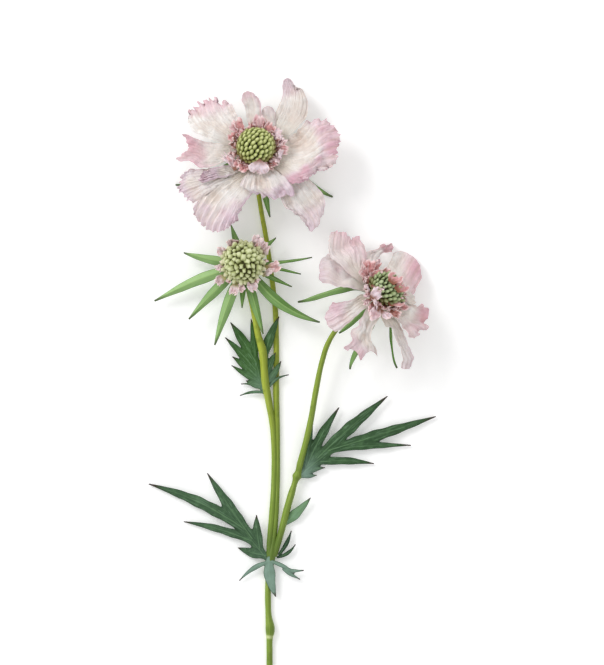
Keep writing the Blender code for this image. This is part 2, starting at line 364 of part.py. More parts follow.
def as_seen(frame, east, north, rise):
    """The point in a head's frame that is seen at (east, north) of its centre from above,
    and that lies the given rise along its axis."""
    turn = np.array(frame.matrix_world.to_3x3())
    flat = np.linalg.solve(turn[:2, :2], np.array([east, north]) - turn[:2, 2] * rise)
    return np.array([flat[0], flat[1], rise])


def sheet(points, thickness, parent=None):
    """A thin solid about a grid of points; both faces are split along the same diagonals."""
    rows, columns = points.shape[:2]
    corner = np.arange(rows * columns).reshape(rows, columns)
    near, right = corner[:-1, :-1].ravel(), corner[:-1, 1:].ravel()
    far, across = corner[1:, :-1].ravel(), corner[1:, 1:].ravel()
    faces = np.concatenate([np.stack([near, right, across], 1), np.stack([near, across, far], 1)])
    mesh = bpy.data.meshes.new("sheet")
    mesh.from_pydata((points.reshape(-1, 3) * MM).tolist(), [], faces.tolist())
    made = new_object("sheet", mesh, parent)
    solidify = made.modifiers.new("Thickness", "SOLIDIFY")
    solidify.thickness = thickness * MM
    solidify.offset = 0
    return made


def cubic(start, first, second, end, t):
    """Points and directions of a cubic curve at the values t."""
    t = t[..., None]
    point = ((1 - t) ** 3 * start + 3 * (1 - t) ** 2 * t * first
             + 3 * (1 - t) * t ** 2 * second + t ** 3 * end)
    slope = ((1 - t) ** 2 * (first - start) + 2 * (1 - t) * t * (second - first)
             + t ** 2 * (end - second))
    return point, slope / np.linalg.norm(slope, axis=-1, keepdims=True)


def blade(root, tip, form, rows, columns):
    """Grid of points on a floret, bract or leaf lobe.

    The midrib is a cubic curve from root to tip, raised by the arch before its end and bowed
    sideways by the sweep. The half width grows from the claw to the peak and shrinks by the taper
    at the tip. The end is cut by a bow and by teeth. The face is cupped across, pleated with its
    teeth and ruffled along its edges.
    """
    u = np.linspace(0, 1, rows + 1)[:, None]
    v = np.linspace(-1, 1, columns + 1)[None, :]
    up = np.array([0.0, 0.0, 1.0])
    flat = (tip - root) * (1, 1, 0)
    length = np.linalg.norm(flat)
    outward = flat / length
    sideways = np.cross(up, outward)
    first = root + outward * ROOT_PULL * length + sideways * form["sweep"]
    second = tip - outward * TIP_PULL * length + up * form["arch"] + sideways * form["sweep"]
    cut = 0.5 - 0.5 * np.cos(PI * form["teeth"] * v + form["phase"])
    reach = u * (1 - form["bow"] * v ** 2 - form["tooth"] * cut)
    middle, along = cubic(root, first, second, tip, reach)
    side = np.cross(up, along)
    side /= np.linalg.norm(side, axis=-1, keepdims=True)
    normal = np.cross(along, side)
    opening = np.sin(PI / 2 * np.minimum(1, u / form["peak"]))
    swell = form["claw"] + (1 - form["claw"]) * opening
    past_peak = np.maximum(0, (u - form["peak"]) / (1 - form["peak"]))
    width = form["half_width"] * swell * (1 - form["taper"] * past_peak ** 1.6)
    height = (form["cup"] * u * v ** 2
              + form["pleat"] * u ** 1.5 * np.cos(PI * form["teeth"] * v + form["phase"])
              + form["ruffle"] * u * v ** 2 * np.sin(2 * PI * form["waves"] * u + 2 * v))
    return middle + side * (v * width)[..., None] + normal * height[..., None]


def tube(stations, extra=0.0):
    """A round stem through stations of x, y, z and radius, with closed ends, all of it larger by
    the extra amount."""
    path = np.array(stations)
    for end, inner in ((0, 1), (-1, -2)):
        away = path[end, :3] - path[inner, :3]
        path[end, :3] += away / np.linalg.norm(away) * extra
    curve = bpy.data.curves.new("tube", "CURVE")
    curve.dimensions = "3D"
    curve.bevel_depth = 1 * MM
    curve.bevel_resolution = STEM_SIDES // 2 - 2
    curve.use_fill_caps = True
    spline = curve.splines.new("POLY")
    spline.points.add(len(path) - 1)
    for point, (x, y, z, radius) in zip(spline.points, path):
        point.co = (x * MM, y * MM, z * MM, 1)
        point.radius = radius + extra
    guide = new_object("guide", curve)
    bpy.context.view_layer.update()
    mesh = bpy.data.meshes.new_from_object(guide.evaluated_get(bpy.context.evaluated_depsgraph_get()))
    bpy.data.objects.remove(guide)
    shape = bmesh.new()
    shape.from_mesh(mesh)
    bmesh.ops.remove_doubles(shape, verts=shape.verts, dist=0.001 * MM)
    shape.to_mesh(mesh)
    shape.free()
    return new_object("tube", mesh)


def apply_modifiers(thing):
    """Make the mesh that an object's modifiers show its own."""
    bpy.context.view_layer.update()
    shown = thing.evaluated_get(bpy.context.evaluated_depsgraph_get())
    mesh = bpy.data.meshes.new_from_object(shown)
    thing.modifiers.clear()
    thing.data = mesh


def combine(thing, others, operation):
    """Join the others to an object, or cut it with them, and take them away."""
    if not others:
        return
    group = bpy.data.collections.new("joined")
    bpy.context.scene.collection.children.link(group)
    for other in others:
        group.objects.link(other)
    step = thing.modifiers.new(operation.title(), "BOOLEAN")
    step.operation = operation
    step.operand_type = "COLLECTION"
    step.collection = group
    step.solver = "MANIFOLD"
    apply_modifiers(thing)
    for other in others:
        bpy.data.objects.remove(other)
    bpy.data.collections.remove(group)


def tidy(thing):
    """Merge the slivers and drop the loose scraps that a join or a cut leaves behind."""
    shape = bmesh.new()
    shape.from_mesh(thing.data)
    bmesh.ops.dissolve_limit(shape, angle_limit=math.radians(SLIVER_ANGLE), verts=shape.verts,
                             edges=shape.edges)
    bmesh.ops.triangulate(shape, faces=shape.faces)
    left = set(shape.faces)
    bodies = []
    while left:
        body, waiting = [], [left.pop()]
        while waiting:
            face = waiting.pop()
            body.append(face)
            for edge in face.edges:
                for other in edge.link_faces:
                    if other in left:
                        left.discard(other)
                        waiting.append(other)
        bodies.append(body)
    bodies.sort(key=lambda body: sum(face.calc_area() for face in body))
    scraps = [face for body in bodies[:-1] for face in body]
    bmesh.ops.delete(shape, geom=scraps, context="FACES")
    shape.to_mesh(thing.data)
    shape.free()


def finish(thing, name, finish_material):
    """Name a node, clear it of scraps and give it its finish."""
    tidy(thing)
    thing.name = name
    thing.data.name = name
    thing.data.materials.clear()
    thing.data.materials.append(finish_material)
    thing.data.shade_smooth()
    thing.data.set_sharp_from_angle(angle=math.radians(40))


def disc(frame, radius, bottom, top, foot_radius=None, sides=20):
    """A round disc, or a cup that narrows to its foot, about a head's axis."""
    shape = bmesh.new()
    bmesh.ops.create_cone(shape, cap_ends=True, segments=sides, radius1=(foot_radius or radius) * MM,
                          radius2=radius * MM, depth=(top - bottom) * MM,
                          matrix=Matrix.Translation((0, 0, (top + bottom) / 2 * MM)))
    mesh = bpy.data.meshes.new("disc")
    shape.to_mesh(mesh)
    shape.free()
    return new_object("disc", mesh, frame)


def evenly(points, count):
    """As many points as the count, evenly spaced along a line of straight pieces."""
    points = np.array(points)
    travelled = np.concatenate([[0], np.cumsum(np.linalg.norm(np.diff(points, axis=0), axis=1))])
    wanted = np.linspace(0, travelled[-1], count)
    return np.stack([np.interp(wanted, travelled, axis) for axis in points.T], 1)


def petal(frame, form):
    """Grid of points on a ray petal.

    The outline is parted at its shoulders into two sides and an end. The grid is the sides
    blended across, plus the end blended with the claw along, less the same blend of the four
    corners. An outline point's rise grows with its distance from the root. The grid is then
    arched, pleated and swollen along the head's axis.
    """
    turn = np.array(frame.matrix_world.to_3x3())
    level = sum(PETAL_DISC) / 2 + form["layer"] * PETAL_LAYER_STEP
    outline = np.array(form["outline"])
    ends = as_seen(frame, *outline[0, :2], level) + as_seen(frame, *outline[-1, :2], level)
    outward = ends[:2] / np.linalg.norm(ends[:2])
    root = np.array([*(outward * PETAL_START), level])
    reach = np.linalg.norm(outline[:, :2] - turn[:2] @ root, axis=1)
    rise = level + (form["rise"] - level) * (reach / reach.max()) ** 1.3 + outline[:, 2]
    edge = [as_seen(frame, east, north, up) for (east, north), up in zip(outline[:, :2], rise)]
    sideways = np.array([-outward[1], outward[0], 0]) * form["claw"]
    around = np.linalg.norm(np.diff(edge, axis=0), axis=1).sum()
    rows, columns = (7, 7) if around > SMALL_PETAL else (6, 5)
    first, second = form["shoulders"]
    right = evenly([root - sideways, *edge[:first + 1]], rows)[:, None]
    left = evenly([root + sideways, *edge[:second - 1:-1]], rows)[:, None]
    end = evenly(edge[first:second + 1], columns)[None]
    u = np.linspace(0, 1, rows)[:, None, None]
    t = np.linspace(0, 1, columns)[None, :, None]
    claw = right[:1] * (1 - t) + left[:1] * t
    corners = (1 - u) * claw + u * (end[:, :1] * (1 - t) + end[:, -1:] * t)
    grid = right * (1 - t) + left * t + (1 - u) * claw + u * end - corners
    u, t = u[..., 0], t[..., 0]
    seen = grid @ turn[:2].T
    pleats = form["pleat"] * u ** 1.5 * np.cos(PI * (columns - 1) * t)
    height = 3 * form["arch"] * u ** 2 * (1 - u) + pleats
    for east, north, size, swell in form["swells"]:
        height = height + swell * np.exp(-((seen[..., 0] - east) ** 2 + (seen[..., 1] - north) ** 2)
                                         / size ** 2)
    grid[..., 2] += height
    return grid


def petals(name, frame, forms, finish_material):
    """The ray petals of a bloom, their claws sunk in one disc."""
    base = disc(frame, PETAL_DISC_RADIUS, *PETAL_DISC)
    blades = [sheet(petal(frame, form), PETAL_THICKNESS, frame) for form in forms]
    combine(base, blades, "UNION")
    finish(base, name, finish_material)


def florets(name, frame, places, disc_heights, finish_material):
    """The small florets round the dome, their tubes sunk in one disc."""
    base = disc(frame, FLORET_DISC_RADIUS, *disc_heights)
    level = disc_heights[0] + FLORET_LEVEL
    form = dict(BLADE, half_width=1, pleat=0.3, ruffle=0.2, cup=1.0, bow=0.15, tooth=0.25)
    blades = []
    for azimuth, out, rise, half_width in places:
        outward = np.array([math.cos(math.radians(azimuth)), math.sin(math.radians(azimuth)), 0])
        root = outward * FLORET_START + (0, 0, level)
        tip = outward * out + (0, 0, level + rise)
        own = dict(form, half_width=half_width, phase=azimuth, arch=-FLORET_HOLLOW * rise)
        blades.append(sheet(blade(root, tip, own, 3, 3), PETAL_THICKNESS, frame))
    combine(base, blades, "UNION")
    finish(base, name, finish_material)


def bracts(name, frame, places, finish_material, stem_cutters):
    """The green cup under a head and the bracts that leave it, clear of the stem in its foot."""
    base = disc(frame, CUP_RADIUS, -CUP_DEPTH, 0.0, foot_radius=CUP_FOOT_RADIUS, sides=12)
    form = dict(BLADE, peak=0.4, taper=0.92, claw=0.45, bow=0.0, tooth=0.0, pleat=0.0, ruffle=0.0,
                cup=-0.7, arch=1.5)
    blades = []
    for east, north, rise, half_width, sweep in places:
        tip = as_seen(frame, east, north, rise)
        outward = tip[:2] / np.linalg.norm(tip[:2])
        root = np.array([*(outward * BRACT_START), BRACT_LEVEL])
        rows = 4 if np.linalg.norm(tip) > LONG_BLADE else 3
        points = blade(root, tip, dict(form, half_width=half_width, sweep=sweep), rows, 2)
        blades.append(sheet(points, BRACT_THICKNESS, frame))
    combine(base, blades, "UNION")
    combine(base, stem_cutters, "DIFFERENCE")
    finish(base, name, finish_material)


def dome(name, frame, bottom, radius, cells, finish_material):
    """The pincushion: a dome covered with packed buds.

    Points on a spiral over an egg give its cells, as the places nearest to each. Each cell is
    drawn in and raised, and the egg is cut off flat where the dome sits.
    """
    count = np.arange(cells) + 0.5
    across = 1 - 2 * count / cells
    turn = count * PI * (3 - math.sqrt(5))
    around = np.sqrt(1 - across ** 2)
    sites = np.stack([around * np.cos(turn), around * np.sin(turn), across], 1)
    hull = bmesh.new()
    for site in sites:
        hull.verts.new(site)
    bmesh.ops.convex_hull(hull, input=hull.verts)
    hull.verts.index_update()
    hull.faces.index_update()
    size = Vector((radius, radius, DOME_HEIGHT - DOME_SINK)) - Vector((BUD_RELIEF,) * 3)
    cell_mesh = bmesh.new()
    corners = [cell_mesh.verts.new(face.calc_center_median().normalized() * size * MM)
               for face in hull.faces]
    cell_mesh.verts.index_update()
    for site in hull.verts:
        cell_mesh.faces.new([corners[face.index] for face in faces_around(site)])
    hull.free()
    bmesh.ops.recalc_face_normals(cell_mesh, faces=cell_mesh.faces)
    bmesh.ops.inset_individual(cell_mesh, faces=list(cell_mesh.faces), thickness=BUD_INSET * MM,
                               depth=BUD_RELIEF * MM, use_even_offset=True)
    cut = bmesh.ops.bisect_plane(cell_mesh, geom=[*cell_mesh.verts, *cell_mesh.edges, *cell_mesh.faces],
                                 plane_co=(0, 0, -DOME_SINK * MM), plane_no=(0, 0, -1), clear_outer=True)
    rim = [piece for piece in cut["geom_cut"] if isinstance(piece, bmesh.types.BMEdge)]
    bmesh.ops.holes_fill(cell_mesh, edges=rim)
    bmesh.ops.triangulate(cell_mesh, faces=cell_mesh.faces)
    bmesh.ops.translate(cell_mesh, vec=(0, 0, (bottom + DOME_SINK) * MM), verts=cell_mesh.verts)
    mesh = bpy.data.meshes.new(name)
    cell_mesh.to_mesh(mesh)
    cell_mesh.free()
    made = new_object(name, mesh, frame)
    finish(made, name, finish_material)


def faces_around(vertex):
    """The faces at a vertex, in order round it."""
    loop = vertex.link_loops[0]
    ordered = []
    for _ in vertex.link_loops:
        ordered.append(loop.face)
        loop = loop.link_loop_prev.link_loop_radial_next
    return ordered


def leaf(name, lobes, finish_material, stem_cutters):
    """A leaf cut into lobes down to its rib, its foot clear of the stem by a small gap."""
    form = dict(BLADE, peak=0.42, taper=0.92, claw=0.5, bow=0.0, tooth=0.0, pleat=0.0, ruffle=0.0,
                cup=-0.6)
    blades = []
    for root_x, root_y, root_z, tip_x, tip_y, tip_z, half_width, sweep in lobes:
        root = np.array([root_x, root_y, root_z])
        tip = np.array([tip_x, tip_y, tip_z])
        lift = 0.05 * np.linalg.norm(tip - root)
        rows = 4 if np.linalg.norm(tip - root) > LONG_BLADE else 3
        points = blade(root, tip, dict(form, half_width=half_width, sweep=sweep, arch=lift), rows, 2)
        blades.append(sheet(points, LEAF_THICKNESS))
    base = blades.pop(0)
    apply_modifiers(base)
    combine(base, blades, "UNION")
    combine(base, stem_cutters, "DIFFERENCE")
    finish(base, name, finish_material)


def stem_tubes(extra=0.0):
    """The three runs of the stem, all of them fatter by the extra radius."""
    return [tube(stations, extra) for stations in (MAIN_STEM, YOUNG_STEM, BRANCH_STEM)]


def stem(name, finish_material):
    """The stem and its branches, grown as one, with a flat underside where it lies."""
    base, *branches = stem_tubes()
    combine(base, branches, "UNION")
    shape = bmesh.new()
    shape.from_mesh(base.data)
    cut = bmesh.ops.bisect_plane(shape, geom=[*shape.verts, *shape.edges, *shape.faces],
                                 plane_co=(0, 0, 0), plane_no=(0, 0, -1), clear_outer=True)
    rim = [piece for piece in cut["geom_cut"] if isinstance(piece, bmesh.types.BMEdge)]
    bmesh.ops.holes_fill(shape, edges=rim)
    bmesh.ops.triangulate(shape, faces=shape.faces)
    shape.to_mesh(base.data)
    shape.free()
    finish(base, name, finish_material)


def build():
    """Make the spray."""
    clear_scene()
    stem_green = material("stem_green", GREEN_STEM)
    bract_green = material("bract_green", GREEN_BRACT)
    leaf_green = material("leaf_green", GREEN_LEAF)
    dome_green = material("dome_green", GREEN_DOME)
    petal_pink = material("petal_pink", PINK_PETAL)
    floret_coral = material("floret_coral", CORAL_FLORET)

    stem("stem", stem_green)
    for name, lobes in (("lower_leaf_left", LOWER_LEAF_LEFT), ("lower_leaf_front", LOWER_LEAF_FRONT),
                        ("lower_leaf_right", LOWER_LEAF_RIGHT), ("lower_leaf_sliver", LOWER_LEAF_SLIVER),
                        ("branch_leaf", BRANCH_LEAF), ("fork_leaf_left", FORK_LEAF_LEFT),
                        ("fork_leaf_right", FORK_LEAF_RIGHT)):
        leaf(name, lobes, leaf_green, stem_tubes(GAP))

    for name, head, petal_forms, floret_places, bract_places in (
            ("bloom_a", BLOOM_A, PETALS_A, FLORETS_A, BRACTS_A),
            ("bloom_b", BLOOM_B, PETALS_B, FLORETS_B, BRACTS_B)):
        frame = head_frame(name + "_frame", head)
        bracts(name + "_bracts", frame, bract_places, bract_green, stem_tubes(GAP))
        petals(name + "_petals", frame, petal_forms, petal_pink)
        florets(name + "_florets", frame, floret_places, FLORET_DISC, floret_coral)
        dome(name + "_cushion", frame, FLORET_DISC[1] + GAP, DOME_RADIUS, DOME_CELLS, dome_green)

    frame = head_frame("young_head_frame", YOUNG_HEAD)
    bracts("young_head_bracts", frame, BRACTS_YOUNG, bract_green, stem_tubes(GAP))
    florets("young_head_florets", frame, FLORETS_YOUNG, YOUNG_DISC, floret_coral)
    dome("young_head_cushion", frame, YOUNG_DISC[1] + GAP, YOUNG_DOME_RADIUS, YOUNG_DOME_CELLS,
         dome_green)


build()
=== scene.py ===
import math

import bpy
import numpy as np
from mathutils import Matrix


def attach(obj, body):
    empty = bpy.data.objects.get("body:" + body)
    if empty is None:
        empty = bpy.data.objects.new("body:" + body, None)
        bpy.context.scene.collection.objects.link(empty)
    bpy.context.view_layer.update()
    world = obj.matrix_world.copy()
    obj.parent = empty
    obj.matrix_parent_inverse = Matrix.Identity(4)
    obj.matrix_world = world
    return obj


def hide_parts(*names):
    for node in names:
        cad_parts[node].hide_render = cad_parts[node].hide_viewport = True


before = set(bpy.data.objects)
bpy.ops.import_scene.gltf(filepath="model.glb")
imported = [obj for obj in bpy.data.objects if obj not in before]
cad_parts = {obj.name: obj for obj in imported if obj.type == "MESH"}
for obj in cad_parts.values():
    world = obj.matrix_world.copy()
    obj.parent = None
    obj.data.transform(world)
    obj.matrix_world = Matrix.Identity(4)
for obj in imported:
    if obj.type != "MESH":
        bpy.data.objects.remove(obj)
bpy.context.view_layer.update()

# The stem and its branches
# One soft green stem that parts at its lower joint into a branch and two stems grown side by side.
# It thickens at each joint and has faint ribs, deep green at its cut foot and yellow-green above, with
# painted shade along one side and a painted highlight along the other.

MM = 0.001
PI = math.pi
UP = np.array([0.0, 0.0, 1.0])
# The least height of any point, in millimetres, and the bend from which an edge is sharp
LOWEST = 0.04
SHARP_ANGLE = math.radians(50)
# A stem's grid, and the count and depth of its ribs
STEM_ROWS = 260
STEM_SIDES = 28
STEM_RIBS = 7
RIB_DEPTH = 0.035

# Stations: x, y, height of the centre line and radius, in millimetres
MAIN_STEM = [
    (-11.8, -182.0, 1.38, 1.60), (-11.4, -145.0, 1.38, 1.58), (-11.3, -107.0, 1.38, 1.55),
    (-11.3, -99.5, 1.50, 1.62), (-11.0, -94.5, 1.95, 2.30), (-11.7, -89.0, 1.50, 1.65),
    (-12.1, -79.5, 1.35, 1.50), (-11.8, -67.0, 1.40, 1.55), (-10.9, -60.0, 1.85, 2.25),
    (-9.3, -49.5, 1.50, 1.60), (-8.2, -36.0, 1.40, 1.50), (-7.5, -20.5, 1.30, 1.40),
    (-7.4, -5.5, 1.30, 1.40), (-7.6, 10.0, 1.35, 1.45), (-8.0, 23.0, 1.40, 1.55),
    (-7.9, 45.5, 1.30, 1.42), (-8.4, 65.5, 1.25, 1.33), (-10.7, 85.5, 1.35, 1.25),
    (-12.8, 100.5, 1.90, 1.20), (-15.5, 115.5, 3.10, 1.15), (-17.2, 127.0, 4.80, 1.15),
    (-17.9, 135.0, 6.80, 1.20), (-18.0, 140.0, 9.40, 1.25), (-18.0, 143.6, 13.0, 1.35),
]
YOUNG_STEM = [
    (-11.5, -58.0, 2.20, 1.50), (-11.1, -49.0, 2.00, 1.50), (-10.0, -36.0, 2.00, 1.50),
    (-9.1, -20.5, 1.90, 1.42), (-9.0, -5.5, 1.90, 1.40), (-9.7, 7.0, 2.20, 1.50),
    (-11.9, 20.5, 3.00, 1.75), (-13.4, 29.0, 4.20, 1.90), (-14.1, 37.0, 4.90, 1.85),
    (-14.8, 45.0, 5.60, 1.95), (-17.0, 53.0, 6.00, 1.65), (-18.1, 59.5, 6.20, 1.60),
    (-20.0, 69.0, 6.60, 1.55),
    (-22.3, 78.0, 6.90, 1.50), (-23.7, 83.8, 8.00, 1.45), (-24.1, 86.7, 10.4, 1.45),
]
BRANCH_STEM = [
    (-9.0, -58.0, 1.90, 1.50), (-5.4, -45.5, 2.70, 1.65), (-2.6, -34.5, 3.10, 1.70),
    (-0.3, -26.5, 3.40, 1.75), (1.9, -19.4, 3.80, 1.70), (2.4, -17.8, 3.90, 2.30),
    (2.9, -16.3, 4.05, 1.75), (4.1, -11.0, 4.60, 1.60),
    (5.6, -5.5, 5.20, 1.50), (9.3, 10.0, 7.00, 1.50), (12.0, 25.5, 8.50, 1.43),
    (15.2, 40.5, 9.80, 1.33), (17.6, 48.0, 10.5, 1.30), (20.9, 54.0, 11.2, 1.25),
    (26.5, 60.5, 12.2, 1.20), (33.5, 65.8, 14.2, 1.20), (38.3, 68.3, 17.0, 1.25),
    (42.2, 69.9, 20.9, 1.35),
]


def colour(red, green, blue):
    """A display colour, each part 0 to 1, as the linear colour that a shader takes."""
    shown = np.array([red, green, blue])
    linear = np.where(shown <= 0.04045, shown / 12.92, ((shown + 0.055) / 1.055) ** 2.4)
    return (*linear.tolist(), 1.0)


def rising(low, high, value):
    """0 below low, 1 above high, and 3t² - 2t³ of the share t between them."""
    share = np.clip((value - low) / (high - low), 0, 1)
    return share * share * (3 - 2 * share)


def unit(vectors):
    """Vectors made one long."""
    return vectors / np.linalg.norm(vectors, axis=-1, keepdims=True)


class Varying:
    """Something that varies over a surface. Arithmetic on a number adds Math nodes."""

    def __init__(self, finish, socket):
        self.finish = finish
        self.socket = socket

    def math(self, operation, *others):
        return self.finish.node("ShaderNodeMath", dict(operation=operation),
                                dict(enumerate([self, *others])))

    def __add__(self, other):
        return self.math("ADD", other)

    __radd__ = __add__

    def __mul__(self, other):
        return self.math("MULTIPLY", other)

    __rmul__ = __mul__

    def __sub__(self, other):
        return self.math("SUBTRACT", other)

    def __rsub__(self, other):
        return (self * -1.0).math("ADD", other)

    def size(self):
        return self.math("ABSOLUTE")


class Finish:
    """A material around one Principled shader, whose constant sockets are set by name."""

    def __init__(self, name, **constants):
        self.material = bpy.data.materials.new(name)
        self.material.use_nodes = True
        self.tree = self.material.node_tree
        self.surface = self.tree.nodes["Principled BSDF"]
        for socket, value in constants.items():
            self.surface.inputs[socket.replace("_", " ")].default_value = value

    def node(self, kind, settings=None, inputs=None, output=0):
        made = self.tree.nodes.new(kind)
        for key, value in (settings or {}).items():
            setattr(made, key, value)
        for key, value in (inputs or {}).items():
            self.join(value, made.inputs[key])
        return Varying(self, made.outputs[output])

    def join(self, value, socket):
        if isinstance(value, Varying):
            self.tree.links.new(value.socket, socket)
        else:
            socket.default_value = value

    def attributes(self, *names):
        return [self.node("ShaderNodeAttribute", dict(attribute_name=name), output=2) for name in names]

    def place(self):
        return self.node("ShaderNodeTexCoord", output=3)

    def vector(self, x, y, z):
        return self.node("ShaderNodeCombineXYZ", None, {0: x, 1: y, 2: z})

    def noise(self, vector, scale, detail=3.0, roughness=0.5):
        return self.node("ShaderNodeTexNoise", None,
                         dict(Vector=vector, Scale=scale, Detail=detail, Roughness=roughness))

    def rising(self, low, high, value):
        return self.node("ShaderNodeMapRange", dict(interpolation_type="SMOOTHSTEP"),
                         {"Value": value, "From Min": low, "From Max": high})

    def mix(self, share, first, second):
        return self.node("ShaderNodeMix", dict(data_type="RGBA"), {0: share, 6: first, 7: second},
                         output=2)

    def layers(self, base, *over):
        """The base colour with others laid over it in turn, each by its own share."""
        for share, tint in over:
            base = self.mix(share, base, tint)
        return base

    def bump(self, height, strength, depth):
        return self.node("ShaderNodeBump", None, dict(Height=height, Strength=strength, Distance=depth))

    def wear(self, **sockets):
        for socket, value in sockets.items():
            self.join(value, self.surface.inputs[socket.replace("_", " ")])
        return self.material


def put(name, shapes, finish, nodes):
    """Make a piece of shapes. Each is a dict of points in millimetres, of arrays of faces, and
    of named values for each point. Nothing dips below the surface that the spray lies on."""
    points = np.concatenate([shape["points"] for shape in shapes])
    points[:, 2] = np.maximum(points[:, 2], LOWEST)
    starts = np.cumsum([0] + [len(shape["points"]) for shape in shapes])
    faces = [face for shape, start in zip(shapes, starts) for group in shape["faces"]
             for face in (group + start).tolist()]
    mesh = bpy.data.meshes.new(name)
    mesh.from_pydata((points * MM).tolist(), [], faces)
    for key in shapes[0]["values"]:
        values = np.concatenate([shape["values"][key] for shape in shapes]).astype(np.float32)
        mesh.attributes.new(key, "FLOAT", "POINT").data.foreach_set("value", values)
    mesh.materials.append(finish)
    mesh.shade_smooth()
    mesh.set_sharp_from_angle(angle=SHARP_ANGLE)
    piece = bpy.data.objects.new(name, mesh)
    bpy.context.scene.collection.objects.link(piece)
    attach(piece, "root")
    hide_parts(*nodes)


def travel(points):
    """The way travelled along a line of points, at each of them."""
    return np.concatenate([[0], np.cumsum(np.linalg.norm(np.diff(points, axis=0), axis=1))])


def smooth_run(stations, count):
    """Evenly spaced rows of a smooth run through stations. Between two stations it is a cubic
    Hermite curve, whose slope at a station is that of the stations about it."""
    stations = np.array(stations)
    knots = travel(stations[:, :3])
    slopes = np.gradient(stations, knots, axis=0)
    travelled = np.linspace(0, knots[-1], count)
    span = np.clip(np.searchsorted(knots, travelled, side="right") - 1, 0, len(knots) - 2)
    width = (knots[span + 1] - knots[span])[:, None]
    t = (travelled - knots[span])[:, None] / width
    return ((1 + 2 * t) * (1 - t) ** 2 * stations[span] + t ** 2 * (3 - 2 * t) * stations[span + 1]
            + width * (t * (1 - t) ** 2 * slopes[span] - t ** 2 * (1 - t) * slopes[span + 1]))


def ring_walls(rows, sides):
    """The numbers of the points on rings in a row, of those next to them round the ring, and the
    faces between the rings."""
    here = np.arange(rows * sides).reshape(rows, sides)
    onward = np.roll(here, -1, axis=1)
    walls = np.stack([here[:-1], onward[:-1], onward[1:], here[1:]], axis=-1)
    return here, onward, walls.reshape(-1, 4)


def rings(points):
    """Points and faces of rings joined in a row, closed at each end by a fan on a middle point."""
    rows, sides = points.shape[:2]
    here, onward, walls = ring_walls(rows, sides)
    first, last = rows * sides, rows * sides + 1
    start = np.stack([np.full(sides, first), onward[0], here[0]], axis=1)
    end = np.stack([np.full(sides, last), here[-1], onward[-1]], axis=1)
    middles = np.stack([points[0].mean(axis=0), points[-1].mean(axis=0)])
    return np.concatenate([points.reshape(-1, 3), middles]), [walls, start, end]


def stem_run(stations, ripe_from, ripe_to):
    """A ribbed round bar carried along a smooth run. Its radius waves a little round the bar and,
    by two long sines, along it. Ripeness grows between two places up the spray."""
    run = smooth_run(stations, STEM_ROWS)
    middle = run[:, :3]
    along = unit(np.gradient(middle, axis=0))
    side = unit(np.array([1.0, 0.0, 0.0]) - along * along[:, :1])
    other = np.cross(along, side)
    angle = np.linspace(0, 2 * PI, STEM_SIDES, endpoint=False)
    ribs = 1 + RIB_DEPTH * np.cos(STEM_RIBS * angle[None, :] + 0.012 * middle[:, 1:2])
    uneven = 1 + 0.015 * np.sin(0.31 * middle[:, 1:2]) + 0.01 * np.sin(0.83 * middle[:, 1:2])
    outward = (np.cos(angle)[None, :, None] * side[:, None]
               + np.sin(angle)[None, :, None] * other[:, None])
    surface = middle[:, None] + outward * (run[:, 3:] * ribs * uneven)[..., None]
    points, faces = rings(surface)
    up_spray = np.append(np.repeat(middle[:, 1], STEM_SIDES), middle[[0, -1], 1])
    values = dict(ripe=rising(ripe_from, ripe_to, up_spray), up_spray=up_spray,
                  round=np.append(np.tile(angle / (2 * PI), STEM_ROWS), [0, 0]))
    return dict(points=points, faces=faces, values=values)


skin = Finish("stem_skin", Roughness=0.5, Specular_IOR_Level=0.35, Subsurface_Weight=0.08,
              Subsurface_Radius=(0.6, 1.0, 0.3), Subsurface_Scale=0.0012)
up_spray, ripe, way_round = skin.attributes("up_spray", "ripe", "round")
streaks = skin.noise(skin.vector(way_round * 40.0, up_spray * 0.06, 0.0), 1.0, 4.0)
blotches = skin.noise(skin.place(), 190.0, 3.0)
joint_shade = 1.0 - skin.rising(3.0, 16.0, (up_spray + 55.0).size())
ring = 1.0 - skin.rising(0.2, 1.5, (up_spray + 98.5).size())
# Painted shade along one side of the stem and a painted highlight along the other, by the way round it
painted_shade_side = skin.rising(-0.1, 0.9, (way_round * (2 * PI) + 0.3).math("COSINE"))
painted_highlight_side = skin.rising(0.3, 1.0, (way_round * (2 * PI) - 2.2).math("COSINE"))
knot_shade = 1.0 - skin.rising(0.5, 3.2, (up_spray + 95.0).size())
green = skin.layers(
    skin.mix(ripe, colour(0.47, 0.58, 0.20), colour(0.66, 0.70, 0.20)),
    (skin.rising(-92.0, -175.0, up_spray) * 0.85, colour(0.26, 0.38, 0.13)),
    (skin.rising(0.45, 0.72, streaks) * 0.5, colour(0.76, 0.82, 0.42)),
    (skin.rising(0.52, 0.75, blotches) * 0.45, colour(0.34, 0.42, 0.10)),
    (joint_shade * 0.6, colour(0.27, 0.38, 0.12)),
    (ring * 0.75, colour(0.86, 0.90, 0.66)),
    (painted_shade_side * 0.5, colour(0.31, 0.38, 0.09)),
    (painted_highlight_side * 0.4, colour(0.78, 0.84, 0.45)),
    (knot_shade * 0.4, colour(0.32, 0.42, 0.12)))
skin.wear(Base_Color=green, Roughness=0.42 + streaks * 0.2,
          Normal=skin.bump(streaks + blotches * 0.5, 0.25, 0.0004))

put("stem_and_branches", [stem_run(MAIN_STEM, -30.0, 70.0), stem_run(YOUNG_STEM, -30.0, 60.0),
                          stem_run(BRANCH_STEM, -60.0, 260.0)], skin.material, ["stem"])


# The leaves
# Seven soft cut leaves: each a thin green web that divides into long pointed lobes, with a pale
# midrib along each lobe. They leave the stem at its joints, and their tips dry to brown.

